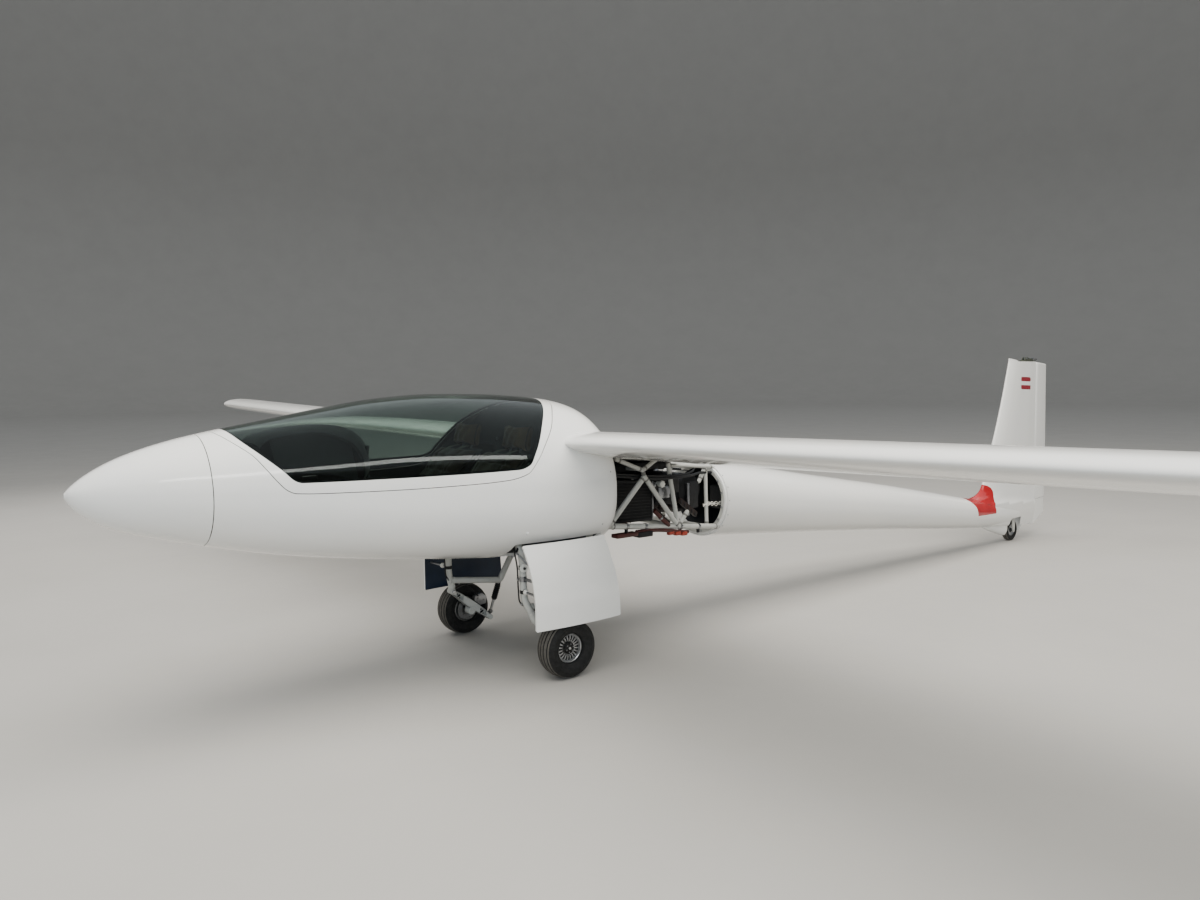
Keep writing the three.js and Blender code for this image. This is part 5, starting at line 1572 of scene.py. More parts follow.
TUBES = [((0.345, -2.205, 0.800), (0.365, -1.560, 0.730), 0.017), ((0.365, -1.560, 0.730), (0.197, -0.530, 0.600), 0.017),
         ((0.366, -1.560, 0.740), (0.352, -1.289, 0.994), 0.016), ((0.352, -1.289, 0.994), (0.274, -0.950, 0.654), 0.015),
         ((0.274, -0.950, 0.654), (0.304, -1.066, 1.088), 0.014), ((0.350, -1.500, 1.110), (0.350, -1.300, 1.032), 0.013),
         ((0.350, -1.300, 1.032), (0.335, -1.165, 1.098), 0.013), ((0.302, -1.060, 1.044), (0.148, -0.530, 0.987), 0.011),
         ((0.274, -0.950, 0.654), (0.272, -0.872, 0.736), 0.014), ((0.163, -0.605, 0.995), (0.211, -0.640, 0.614), 0.012),
         ((0.163, -0.605, 0.995), (0.190, -0.690, 0.906), 0.013), ((0.350, -1.300, 1.032), (0.352, -1.289, 0.994), 0.012)]
CROSS = [(0.345, -2.205, 0.800, 0.014), (0.365, -1.560, 0.730, 0.015), (0.272, -0.950, 0.654, 0.014), (0.210, -0.640, 0.614, 0.011), (0.163, -0.605, 0.995, 0.010), (0.350, -1.300, 1.034, 0.010)]
s = Soup(MAT_TUBE, MAT_STEEL, MAT_BLACK, MAT_SEAM)
for a, b, r in TUBES:
    for f in (lambda p: p, mirrored):
        p, q = Vector(f(a)), Vector(f(b))
        s.rod(p, q, r, 20, 0)
        d = (q - p).normalized()
        for e, sg in ((p, 1), (q, -1)):
            ball(s, e, r * 1.02, 0)
            s.turn([(r * 0.98, 0.018), (r * 1.14, 0.021), (r * 1.18, 0.025), (r * 1.12, 0.029), (r * 0.98, 0.032)], e, d * sg, 18, 3)
for x, y, z, r in CROSS:
    s.rod((-x, y, z), (x, y, z), r, 18, 0)
# flange ring of the frame on the boom's mouth, with bolts and four clamps on the lower rail
RF = BOOM_FRONT - 0.022
ring_loft(s, [boom_ring(RF, 0.022), boom_ring(RF, 0.044), boom_ring(RF + 0.0045, 0.044), boom_ring(RF + 0.0045, 0.022), boom_ring(RF, 0.022)], 0, False, False)
for k in range(16):
    p = Inset(boom_hull, 0.033)(np.float64(RF), np.float64((k + 0.5) / 16))
    s.turn([(0.0001, 0.006), (0.0065, 0.006), (0.007, 0.005), (0.007, 0.0)], Vector(p), (0, -1, 0), 6, 1)
rail_a, rail_b = Vector((0.365, -1.560, 0.730)), Vector((0.197, -0.530, 0.600))
for t in (0.135, 0.295, 0.62, 0.80):
    for f in (1, -1):
        p = rail_a.lerp(rail_b, t)
        d = (rail_b - rail_a).normalized()
        p.x *= f
        d.x *= f
        s.turn([(0.0168, -0.010), (0.0195, -0.009), (0.0195, 0.009), (0.0168, 0.010)], p, d, 20, 1)
        s.box((p.x - 0.008, p.y - 0.008, p.z - 0.040), (p.x + 0.008, p.y + 0.008, p.z - 0.012), 2, 0.002)
s.make("bay_tubes", "airframe", ("bay_frame",), "frame_tube", 40)

# firewall
s = Soup(MAT_SHEET, MAT_STEEL, MAT_WIRE, MAT_RUBBER)
FW_Y = (-1.656, -1.646)


def slab(z0, z1, cuts):
    zs = np.linspace(z0, z1, 8)
    for lo_x, hi_x in cuts:
        left = [(half_at(-1.652, z, 0.022) if hi_x is None else hi_x, z) for z in zs]
        right = [(-half_at(-1.652, z, 0.022) if lo_x is None else lo_x, z) for z in zs[::-1]]
        s.prism([(x, FW_Y[0], z) for x, z in left + right], (0, FW_Y[1] - FW_Y[0], 0), 0)


slab(0.622, 0.715, [(None, None)])
slab(0.715, 0.800, [(None, -0.420), (-0.290, 0.290), (0.420, None)])
slab(0.800, 1.118, [(None, None)])
for z in (0.66, 0.86, 1.06):
    for x in (-0.30, -0.12, 0.12, 0.30):
        s.turn([(0.0001, 0.005), (0.007, 0.005), (0.009, 0.002), (0.009, -0.001)], (x, FW_Y[1], z), (0, 1, 0), 12, 1)
for x in (-0.22, 0.22):
    s.box((x - 0.07, FW_Y[1] + 0.0005, 0.90), (x + 0.07, FW_Y[1] + 0.045, 1.00), 3, 0.006)
for k, col in enumerate((2, 2, 3)):
    s.tube(smooth_path([(-0.16 + 0.05 * k, -1.63, 0.90), (-0.13 + 0.05 * k, -1.60, 0.85), (-0.05 + 0.04 * k, -1.52, 0.90), (0.0 + 0.03 * k, -1.45, 0.95)], 7), 0.004, 8, col)
s.make("firewall_sheet_metal", "airframe", ("firewall",), "firewall_sheet", 40)

# engine
s = Soup(MAT_IRON, MAT_STEEL, MAT_BLACK, MAT_COPPER, MAT_RUBBER, MAT_MAROON, MAT_CREAM, MAT_WIRE)
s.prism([(-0.105, y, z) for y, z in ((-1.390, 0.805), (-1.390, 0.930), (-1.335, 0.965), (-0.965, 0.965), (-0.905, 0.930), (-0.905, 0.815), (-0.965, 0.785), (-1.340, 0.785))], (0.21, 0, 0), 0, 0.014)
s.turn([(0.0001, 0.0), (0.085, 0.0), (0.094, 0.006), (0.098, 0.018), (0.098, 0.034), (0.088, 0.040), (0.060, 0.044), (0.050, 0.060), (0.034, 0.062), (0.0001, 0.062)], (0, -1.375, 0.868), (0, -1, 0), 40, 0)
for k in range(10):
    a = 2 * math.pi * k / 10
    s.turn([(0.0001, 0.006), (0.006, 0.006), (0.0065, 0.0)], (0.084 * math.cos(a), -1.414, 0.868 + 0.084 * math.sin(a)), (0, -1, 0), 6, 1)
for sx in (-1, 1):
    for y in (-1.262, -1.040):
        fins = []
        for k in range(9):
            x = 0.100 + k * 0.0115
            fins += [(0.062, x), (0.0625, x + 0.0035), (0.053, x + 0.0042), (0.053, x + 0.0108)]
        s.turn(fins, (0, y, 0.868), (sx, 0, 0), 36, 0)
        s.box((sx * 0.222 - 0.022, y - 0.068, 0.808), (sx * 0.222 + 0.022, y + 0.068, 0.936), 0, 0.012)
        s.box((sx * 0.244 - 0.006, y - 0.045, 0.835), (sx * 0.244 + 0.005, y + 0.045, 0.905), 1, 0.004)
        s.turn([(0.008, 0), (0.008, 0.010), (0.005, 0.012), (0.005, 0.026), (0.0065, 0.028), (0.0065, 0.036), (0.0001, 0.038)], (sx * 0.205, y, 0.932), (sx * 0.25, 0, 1), 12, 6)
        s.tube(smooth_path([(sx * 0.212, y, 0.968), (sx * 0.19, y + 0.02, 0.992), (sx * 0.11, -1.15, 0.992), (sx * 0.05, -1.15, 0.985)], 8), 0.0038, 8, 2)
        s.tube(bent([(sx * 0.215, y, 0.815), (sx * 0.215, y, 0.776), (sx * 0.205, y + 0.10, 0.760), (sx * 0.175, -0.90, 0.756)], 0.03), 0.019, 16, 3)
        s.tube(smooth_path([(sx * 0.19, y, 0.930), (sx * 0.15, y + 0.01, 0.965), (sx * 0.09, y + 0.03, 0.982)], 6), 0.015, 14, 4)
    s.tube(smooth_path([(sx * 0.175, -0.92, 0.758), (sx * 0.13, -0.86, 0.758), (sx * 0.06, -0.84, 0.760), (0, -0.835, 0.760)], 6), 0.021, 16, 3)
s.rod((-0.12, -0.835, 0.760), (0.12, -0.835, 0.760), 0.046, 28, 3, 0.012)
s.box((-0.075, -1.28, 0.968), (0.075, -1.02, 1.006), 2, 0.010)
for k in range(6):
    s.box((-0.070, -1.262 + 0.044 * k, 1.005), (0.070, -1.250 + 0.044 * k, 1.011), 2, 0.002)
s.rod((0.05, -0.985, 0.975), (0.05, -0.935, 0.975), 0.034, 24, 1, 0.004)
s.rod((-0.06, -0.89, 0.868), (-0.06, -0.845, 0.868), 0.040, 24, 2, 0.006)
s.rod((0.055, -0.90, 0.900), (0.055, -0.80, 0.900), 0.036, 24, 2, 0.006)
s.rod((0.0, -1.05, 0.79), (0.0, -1.05, 0.700), 0.038, 24, 2, 0.005)
s.prism([(-0.232, y, z) for y, z in ((-1.150, 0.800), (-1.150, 0.985), (-0.930, 0.985), (-0.893, 0.940), (-0.893, 0.812), (-0.930, 0.780))], (0.464, 0, 0), 2, 0.018)
s.rod((-0.236, -1.02, 0.875), (0.236, -1.02, 0.875), 0.060, 32, 0, 0.008)
s.rod((-0.168, -0.765, 0.862), (0.168, -0.765, 0.862), 0.098, 40, 0, 0.006)
s.tube(smooth_path([(0.10, -0.90, 0.80), (0.12, -0.84, 0.742), (0.10, -0.76, 0.735)], 8), 0.022, 18, 0)
s.box((-0.205, -1.41, 1.012), (0.205, -0.94, 1.062), 2, 0.014)
for k in range(9):
    s.box((-0.206, -1.385 + 0.05 * k, 1.020), (0.206, -1.379 + 0.05 * k, 1.0635), 2, 0.001)
lin = []
for y, z in ((-1.640, 1.118), (-1.50, 1.106), (-1.31, 1.091), (-1.17, 1.083), (-1.03, 1.0735), (-0.965, 1.064)):
    lin.append([(-0.335, y, z), (0.335, y, z), (0.335, y, z - 0.003), (-0.335, y, z - 0.003)])
ring_loft(s, lin, 2)
for sx in (-1, 1):
    s.turn([(0.0001, 0.016), (0.028, 0.015), (0.036, 0.008), (0.052, 0.006), (0.056, 0.0), (0.056, -0.01)], (sx * 0.236, -1.02, 0.875), (sx, 0, 0), 32, 1)
    s.rod((sx * 0.205, -0.800, 0.700), (sx * 0.205, -0.800, 0.905), 0.011, 16, 1, 0.002)
    s.box((sx * 0.18 - 0.032, -0.812, 0.740), (sx * 0.18 + 0.018, -0.700, 0.912), 2, 0.008)
    s.turn([(0.0001, 0.018), (0.060, 0.014), (0.092, 0.004), (0.098, -0.010)], (sx * 0.176, -0.765, 0.862), (sx, 0, 0), 40, 0)
    s.turn([(0.1005, -0.006), (0.1012, 0.0), (0.1005, 0.006)], (sx * 0.110, -0.765, 0.862), (sx, 0, 0), 40, 2)
    for k in range(6):
        s.box((sx * 0.235 - 0.003, -0.965 + 0.0115 * k, 0.80), (sx * 0.235 + 0.004, -0.960 + 0.0115 * k, 0.86), 0, 0.001)
s.make("engine_detail", "airframe", ("engine",), "engine_metal", 36)

# radiators with their hoses, left and mirrored
s = Soup(MAT_CORE, MAT_BLACK, MAT_STEEL, MAT_RUBBER, MAT_MAROON, MAT_CREAM, MAT_COPPER, MAT_WIRE, MAT_LATEX)
RX0, RX1 = 0.256, 0.292
s.prism([(RX0, y, z) for y, z in ((-1.494, 0.742), (-1.494, 0.968), (-1.180, 0.944), (-1.180, 0.734))], (RX1 - RX0, 0, 0), 0, 0.002)
for k in range(56):
    t = (k + 0.5) / 56
    y = lerp(-1.492, -1.182, t)
    s.box((RX1 - 0.001, y - 0.0012, lerp(0.744, 0.736, t)), (RX1 + 0.0035, y + 0.0012, lerp(0.966, 0.942, t)), 1)
for k in range(11):
    t = (k + 0.5) / 11
    a, b = (-1.492, lerp(0.748, 0.960, t)), (-1.182, lerp(0.740, 0.938, t))
    s.add([(RX1 + 0.0045, a[0], a[1] - 0.0018), (RX1 + 0.0045, b[0], b[1] - 0.0018), (RX1 + 0.0045, b[0], b[1] + 0.0018), (RX1 + 0.0045, a[0], a[1] + 0.0018),
           (RX1 - 0.001, a[0], a[1] - 0.0018), (RX1 - 0.001, b[0], b[1] - 0.0018), (RX1 - 0.001, b[0], b[1] + 0.0018), (RX1 - 0.001, a[0], a[1] + 0.0018)],
          [(0, 1, 2, 3), (7, 6, 5, 4), (0, 4, 5, 1), (3, 2, 6, 7), (0, 3, 7, 4), (1, 5, 6, 2)], 1, False)
for a, b, col in (((0.726, 0.742), (0.718, 0.734), 1), ((0.968, 0.984), (0.944, 0.958), 1)):
    s.prism([(RX0 - 0.004, -1.498, a[0]), (RX0 - 0.004, -1.498, a[1]), (RX0 - 0.004, -1.174, b[1]), (RX0 - 0.004, -1.174, b[0])], (RX1 - RX0 + 0.010, 0, 0), col, 0.004)
s.prism([(RX0 - 0.002, -1.180, 0.720), (RX0 - 0.002, -1.180, 0.956), (RX0 - 0.002, -1.1725, 0.956), (RX0 - 0.002, -1.1725, 0.720)], (RX1 - RX0 + 0.010, 0, 0), 2, 0.001)
s.prism([(RX0 - 0.002, -1.499, 0.728), (RX0 - 0.002, -1.499, 0.980), (RX0 - 0.002, -1.494, 0.980), (RX0 - 0.002, -1.494, 0.728)], (RX1 - RX0 + 0.008, 0, 0), 2, 0.001)
s.tube(smooth_path([(0.276, -1.20, 0.940), (0.276, -1.155, 0.930), (0.262, -1.12, 0.915), (0.22, -1.09, 0.93)], 7), 0.015, 16, 3)
s.turn([(0.018, -0.006), (0.0185, 0.0), (0.018, 0.006)], (0.274, -1.150, 0.928), (0, 1, -0.3), 18, 2)
# filler cap
s.turn([(0.0001, 0.020), (0.016, 0.0195), (0.0195, 0.015), (0.0195, 0.003), (0.0165, -0.002), (0.0165, -0.03)], (0.295, -1.108, 0.932), (1, 0, 0.1), 24, 5)
for k in range(8):
    a = 2 * math.pi * k / 8
    s.box((0.299, -1.108 + 0.0195 * math.cos(a) - 0.002, 0.932 + 0.0195 * math.sin(a) - 0.002), (0.313, -1.108 + 0.0195 * math.cos(a) + 0.002, 0.932 + 0.0195 * math.sin(a) + 0.002), 5, 0.0008)
s.tube(smooth_path([(0.300, -1.168, 0.776), (0.304, -1.140, 0.748), (0.304, -1.100, 0.712), (0.298, -1.055, 0.680), (0.26, -1.02, 0.664)], 8), 0.013, 16, 4)
s.tube(smooth_path([(0.290, -1.168, 0.810), (0.292, -1.132, 0.776), (0.290, -1.088, 0.730), (0.282, -1.030, 0.690)], 8), 0.009, 14, 6)
s.turn([(0.0145, -0.006), (0.0152, 0.0), (0.0145, 0.006)], (0.304, -1.118, 0.728), (0, 0.7, -0.7), 18, 2)
s.prism([(0.226, -0.925, 0.806), (0.226, -0.900, 0.826), (0.226, -0.760, 0.724), (0.226, -0.772, 0.690)], (0.03, 0, 0), 6, 0.008)
for k in range(5):
    t = k / 4
    s.box((0.254, lerp(-0.905, -0.785, t) - 0.004, lerp(0.800, 0.712, t) - 0.012), (0.2585, lerp(-0.905, -0.785, t) + 0.004, lerp(0.800, 0.712, t) + 0.012), 3, 0.001)
s.box((0.305, -1.505, 0.650), (0.365, -1.345, 0.674), 4, 0.006, Matrix.Identity(4))
s.tube(smooth_path([(0.325, -1.330, 0.668), (0.318, -1.24, 0.664), (0.308, -1.14, 0.655), (0.298, -1.04, 0.640), (0.288, -0.94, 0.622), (0.278, -0.87, 0.612)], 6), 0.0115, 14, 4)
for k, (y, z) in enumerate(((-1.03, 0.622), (-0.975, 0.613), (-0.92, 0.606))):
    s.box((0.280, y - 0.022, z - 0.010), (0.308, y + 0.022, z + 0.014), 8, 0.006)
s.box((0.285, -1.325, 0.632), (0.345, -1.215, 0.664), 3, 0.006)
s.tube(smooth_path([(0.330, -1.615, 1.020), (0.330, -1.46, 1.006), (0.330, -1.30, 0.985), (0.330, -1.146, 0.972), (0.318, -0.98, 0.966), (0.28, -0.83, 0.966), (0.21, -0.70, 0.965), (0.16, -0.58, 0.955), (0.13, -0.48, 0.945)], 8), 0.0085, 14, 3)
s.tube(smooth_path([(0.330, -1.615, 1.034), (0.332, -1.46, 1.020), (0.332, -1.30, 1.000), (0.330, -1.146, 0.987), (0.316, -0.98, 0.979), (0.27, -0.83, 0.984), (0.20, -0.74, 1.0)], 8), 0.006, 12, 1)
for k, ph in enumerate((0.0, 2.1, 4.0)):
    s.tube(smooth_path([(0.20, -0.66, 0.742 + 0.008 * k), (0.204, -0.615, 0.768 - 0.010 * k), (0.200, -0.580, 0.742 + 0.012 * k), (0.196, -0.540, 0.764 - 0.014 * k), (0.190, -0.500, 0.738 + 0.010 * k), (0.178, -0.450, 0.752), (0.14, -0.40, 0.74)], 7), 0.0028, 8, 7)
s.box((0.06, -0.47, 0.70), (0.17, -0.36, 0.86), 1, 0.02)
both(s, "radiator_set_{}", "airframe", ("radiator_{}",), "radiator_black", 36)

# ------------------------------------------------------------------ main undercarriage
DOOR = np.array([[0.290, 0.616, -2.240, -1.690], [0.400, 0.616, -2.240, -1.695], [0.520, 0.605, -2.245, -1.710], [0.640, 0.580, -2.258, -1.733], [0.728, 0.545, -2.270, -1.745]])
door_cols = [pchip(DOOR[:, 0], DOOR[:, k]) for k in (1, 2, 3)]


def door_func(z, t):
    x, y0, y1 = [c(z) for c in door_cols]
    return np.stack([x + 0.016 * (1 - (2 * t - 1) ** 2), y0 + (y1 - y0) * t, z + 0 * t], axis=-1)


def door_mirror(z, t):
    p = door_func(z, t).copy()
    p[..., 0] *= -1
    return p


def round_corners(r):
    def field(p):
        z = p[..., 2]
        x, y0, y1 = [c(np.clip(z, 0.29, 0.728)) for c in door_cols]
        a = np.minimum(p[..., 1] - y0, y1 - p[..., 1])
        b = np.minimum(z - 0.290, 0.728 - z)
        return np.where((a < r) & (b < r), r - np.hypot(r - a, r - b), np.minimum(a, b) + 1e-4)

    return field


for sd, fn in (("left", door_func), ("right", door_mirror)):
    d = Surf(fn, np.linspace(0.2901, 0.7279, 36), np.linspace(0.0001, 0.9999, 36))
    d.clip(round_corners(0.007))
    d.build("door_skin_" + sd, [MAT_WHITE, MAT_NAVY], thick=0.012, flip=(sd == "left"), inner_mat=1, replaces=("gear_door_" + sd,), slot="gelcoat")

s = Soup(MAT_TUBE, MAT_CHROME, MAT_STEEL, MAT_RUBBER, MAT_CREAM, MAT_NAVY)
LEG = [(0.352, -2.205, 0.785), (0.404, -2.182, 0.640), (0.413, -2.179, 0.410), (0.438, -2.146, 0.328)]
LEG_REAR = [(0.415, -2.168, 0.374), (0.425, -1.815, 0.324), (0.406, -1.726, 0.500), (0.366, -1.712, 0.735)]
s.tube(bent(LEG, 0.045, 8), 0.019, 26, 0)
s.tube(bent(LEG_REAR, 0.012, 3), 0.019, 26, 0)
for p in (LEG[0], LEG_REAR[-1]):
    ball(s, p, 0.0195, 0)
    s.rod(Vector(p) + Vector((-0.03, 0, 0)), Vector(p) + Vector((0.03, 0, 0)), 0.015, 18, 2, 0.002)
s.rod((0.436, -2.148, 0.332), (0.458, -2.136, 0.292), 0.0215, 26, 0, 0.004)
ball(s, (0.437, -2.148, 0.330), 0.0225, 0, 22)
# weld beads where the lower tube meets the upright and at its mitre
d = (Vector(LEG_REAR[1]) - Vector(LEG_REAR[0])).normalized()
s.turn([(0.0185, 0.019), (0.0215, 0.022), (0.0215, 0.025), (0.0188, 0.028)], LEG_REAR[0], d, 26, 0)
s.rod((0.428, -2.138, 0.296), (0.489, -2.138, 0.296), 0.013, 20, 1, 0.002)
for x, d in ((0.487, 1), (0.429, -1)):
    s.turn([(0.0001, 0.010), (0.010, 0.010), (0.012, 0.007), (0.012, 0.0)], (x, -2.138, 0.296), (d, 0, 0), 6, 1)
# upper bolt with its white disc, and the two door stays with brackets
s.turn([(0.0001, 0.019), (0.007, 0.019), (0.008, 0.017), (0.008, 0.011), (0.021, 0.010), (0.022, 0.008), (0.022, 0.0)], (0.420, -2.186, 0.584), (1, -0.25, 0), 24, 4, mats=[1, 1, 1, 4, 4, 4])
s.turn([(0.0192, -0.012), (0.0225, -0.010), (0.0225, 0.010), (0.0192, 0.012)], (0.406, -2.181, 0.584), (0.05, 0, 1), 26, 3)
s.turn([(0.0192, -0.010), (0.0215, -0.008), (0.0215, 0.008), (0.0192, 0.010)], (0.411, -2.179, 0.455), (0.04, 0, 1), 26, 3)
for y, z in ((-2.182, 0.524), (-1.739, 0.474)):
    xd = float(door_func(np.float64(z), np.float64((y + 2.245) / 0.555))[0]) - 0.0135
    s.rod((0.404, y, z), (xd, y, z), 0.0085, 16, 2, 0.001)
    s.turn([(0.0195, -0.014), (0.0205, -0.013), (0.0205, 0.013), (0.0195, 0.014)], (0.409, y, z), (0, 0.0, 1), 20, 2)
    s.box((xd - 0.004, y - 0.026, z - 0.020), (xd + 0.0005, y + 0.026, z + 0.020), 2, 0.0015)
    for dy in (-0.018, 0.018):
        s.turn([(0.0001, 0.004), (0.004, 0.004), (0.0045, 0.0)], (xd - 0.004, y + dy, z), (-1, 0, 0), 8, 1)
s.rod((0.432, -2.235, 0.672), (0.560, -2.180, 0.560), 0.0055, 12, 2)
s.rod((0.432, -2.235, 0.672), (0.386, -2.196, 0.690), 0.0055, 12, 3)
ball(s, (0.455, -2.196, 0.462), 0.015, 4, 18)
s.rod((0.413, -2.180, 0.468), (0.455, -2.196, 0.462), 0.008, 14, 2)
s.rod((0.455, -2.196, 0.462), (0.588, -2.205, 0.462), 0.006, 12, 2)
hose = smooth_path([(0.372, -2.226, 0.720), (0.398, -2.212, 0.600), (0.402, -2.208, 0.470), (0.404, -2.196, 0.395), (0.428, -2.128, 0.352), (0.430, -2.050, 0.326), (0.433, -1.985, 0.262), (0.450, -1.955, 0.236)], 9)
s.tube(hose, 0.0042, 10, 3)
for t in (0.22, 0.45, 0.62):
    p = hose[int(t * len(hose))]
    s.turn([(0.0058, -0.006), (0.0066, -0.005), (0.0066, 0.005), (0.0058, 0.006)], p, (hose[int(t * len(hose)) + 1] - p), 12, 2)
both(s, "leg_tubes_{}", "airframe", ("gear_leg_{}",), "frame_tube", 40)

# trailing arm: two cheeks with triangular holes, edge flanges, axle
A0, A1 = Vector((0, -2.138, 0.296)), Vector((0, -1.880, 0.098))
AL = (A1 - A0).length
AU = (A1 - A0).normalized()
AN = Vector((0, -AU.z, AU.y))
ARM_PTS = [(-0.004, -0.013), (AL * 0.5, -0.024), (AL + 0.012, -0.014), (AL + 0.012, 0.014), (AL * 0.5, 0.024), (-0.004, 0.013)]
ARM_HALF = pchip([-0.004, AL * 0.5, AL + 0.012], [0.0135, 0.0245, 0.0145])


def arm_func(x0):
    def f(u, v):
        u, v = np.asarray(u, float), np.asarray(v, float)
        h = v * ARM_HALF(u)
        return np.stack([x0 + 0 * u, A0.y + AU.y * u + AN.y * h, A0.z + AU.z * u + AN.z * h], axis=-1)

    return f


def arm_holes(p):
    sx_ = (p[..., 1] - A0.y) * AU.y + (p[..., 2] - A0.z) * AU.z
    h = (p[..., 1] - A0.y) * AN.y + (p[..., 2] - A0.z) * AN.z
    f = np.full(sx_.shape, 1.0)
    wv = 0.034
    for k, c in enumerate((0.046, 0.076, AL - 0.078, AL - 0.048)):
        up_ = 1 if k % 2 else -1
        hh = ARM_HALF(np.full(sx_.shape, c)) - 0.006
        q = (h * up_ + hh)
        tri = np.maximum.reduce([-q + 0.001, np.abs(sx_ - c) * 1.25 + q * 0.62 - wv * 0.56 - hh * 0.42, q - 2 * hh])
        f = np.minimum(f, tri)
    return f


for sd in ("left", "right"):
    sg = 1 if sd == "left" else -1
    for nm, xx, fl in (("inner", 0.4385, True), ("outer", 0.4790, False)):
        a = Surf(arm_func(sg * xx), np.linspace(-0.004, AL + 0.012, 90), np.linspace(-1, 1, 25))
        a.clip(arm_holes)
        a.build("arm_cheek_%s_%s" % (nm, sd), [MAT_TUBE], thick=0.004, flip=(fl if sd == "left" else not fl), replaces=(("gear_arm_" + sd,) if nm == "outer" else ()), slot="frame_tube")
s = Soup(MAT_TUBE, MAT_CHROME, MAT_STEEL)
for sgn in (-1, 1):
    rows = []
    for u in np.linspace(-0.004, AL + 0.012, 24):
        h = float(ARM_HALF(u)) * sgn
        p = A0 + AU * u + AN * h
        q = A0 + AU * u + AN * (h - sgn * 0.003)
        rows.append([(0.4385, p.y, p.z), (0.4790, p.y, p.z), (0.4790, q.y, q.z), (0.4385, q.y, q.z)])
    ring_loft(s, rows, 0)
s.rod((0.434, A0.y, A0.z), (0.484, A0.y, A0.z), 0.0175, 22, 0, 0.002)
s.rod((0.434, A1.y, A1.z), (0.484, A1.y, A1.z), 0.0165, 22, 0, 0.002)
s.rod((0.436, -2.010, 0.158), (0.581, -2.010, 0.158), 0.0118, 22, 1, 0.002)
s.rod((0.434, -2.010, 0.158), (0.492, -2.010, 0.158), 0.024, 24, 0, 0.003)
both(s, "arm_edges_{}", "airframe", (), "frame_tube", 40)

# shock strut: bellows over a chrome rod
top, foot = Vector((0.450, -1.812, 0.300)), Vector((0.458, -1.868, 0.128))
d = (foot - top).normalized()
s = Soup(MAT_STRUT, MAT_CHROME, MAT_RUBBER, MAT_STEEL)
prof = [(0.0001, -0.006), (0.012, -0.005), (0.0165, 0.0), (0.0170, 0.010)]
for k in range(7):
    z = 0.012 + k * 0.0125
    prof += [(0.0160, z), (0.0198, z + 0.004), (0.0198, z + 0.0075), (0.0160, z + 0.0115)]
prof += [(0.0155, 0.102), (0.012, 0.106), (0.0088, 0.107)]
s.turn(prof, top, d, 28, 0)
s.rod(top + d * 0.104, foot, 0.0085, 20, 1)
s.turn([(0.0001, 0.012), (0.010, 0.0115), (0.0135, 0.007), (0.0135, -0.007), (0.010, -0.0115), (0.0001, -0.012)], foot, (1, 0, 0), 22, 3)
s.turn([(0.0001, 0.015), (0.010, 0.0145), (0.0135, 0.009), (0.0135, -0.009), (0.010, -0.0145), (0.0001, -0.015)], top, (1, 0, 0), 22, 3)
both(s, "shock_detail_{}", "airframe", ("shock_strut_{}",), "strut_black", 32)

s = Soup(MAT_ALLOY, MAT_STEEL, MAT_RUBBER)
cal = [(-1.990, 0.214), (-1.985, 0.247), (-1.936, 0.257), (-1.900, 0.230), (-1.908, 0.188), (-1.946, 0.182)]
s.prism([(0.441, y, z) for y, z in cal], (0.0385, 0, 0), 0, 0.005)
for y, z in ((-1.968, 0.228), (-1.926, 0.214)):
    s.turn([(0.0001, 0.004), (0.006, 0.004), (0.0065, 0.0), (0.0065, -0.001)], (0.441, y, z), (-1, 0, 0), 6, 1)
s.rod((0.452, -1.962, 0.236), (0.452, -1.955, 0.249), 0.006, 12, 1)
both(s, "caliper_detail_{}", "airframe", ("brake_caliper_{}",), "wheel_alloy", 36)


def tyre_mesh(name, body, replaces, x0, y0, r, w, rim, mirror=False, grooves=(0.19, 0.60), depth=0.006):
    h = w / 2
    s = Soup(MAT_TYRE, MAT_TREAD)
    crown = lambda o: r - (abs(o) / h) ** 2.4 * 0.10 * r * 0.9
    half_, hm = [], []
    side_pts = [(rim + 0.0010, 0.50 * h), (rim + 0.0015, 0.66 * h), (rim + 0.005, 0.745 * h), (rim + 0.010, 0.79 * h), (rim + 0.0125, 0.80 * h), (rim + 0.0145, 0.79 * h + 0.0012), (rim + (r - rim) * 0.30, 0.91 * h), (rim + (r - rim) * 0.45, 0.985 * h),
                (rim + (r - rim) * 0.56, 0.99 * h), (rim + (r - rim) * 0.585, 0.992 * h + 0.0008), (rim + (r - rim) * 0.61, 0.975 * h), (rim + (r - rim) * 0.72, 0.915 * h), (rim + (r - rim) * 0.80, 0.845 * h)]
    pts = [(a, b, 0) for a, b in side_pts]
    o = 0.80 * h
    edge = [0.80]
    gw = 0.055
    for g in sorted(grooves, reverse=True):
        edge += [g + gw, g - gw]
    edge.append(0.0)
    for k in range(0, len(edge) - 1):
        a, b = edge[k] * h, edge[k + 1] * h
        if k % 2 == 0:
            for t in (0, 0.06, 0.35, 0.65, 0.94, 1) if b > 0 else (0, 0.06, 0.5, 1):
                oo = a + (b - a) * t
                dip = 0.0008 if t in (0, 1) and oo > 0 else 0.0
                pts.append((crown(oo) - dip, oo, 1))
        else:
            for t in (0.12, 0.5, 0.88):
                oo = a + (b - a) * t
                pts.append((crown(oo) - depth, oo, 0))
    full = pts + [(a, -b, m) for a, b, m in pts[::-1][1:]]
    prof = [(a, b) for a, b, _ in full]
    mats = [1 if (full[k][2] == 1 and full[(k + 1) % len(full)][2] == 1) else 0 for k in range(len(full))]
    s.turn(prof, (x0, y0, r), (1, 0, 0), 96, 0, closed=True, mats=mats)
    if mirror:
        s = s.mirror()
    # face winding outward
    s.make(name, body, replaces, "tyre_rubber", 28)
    return s


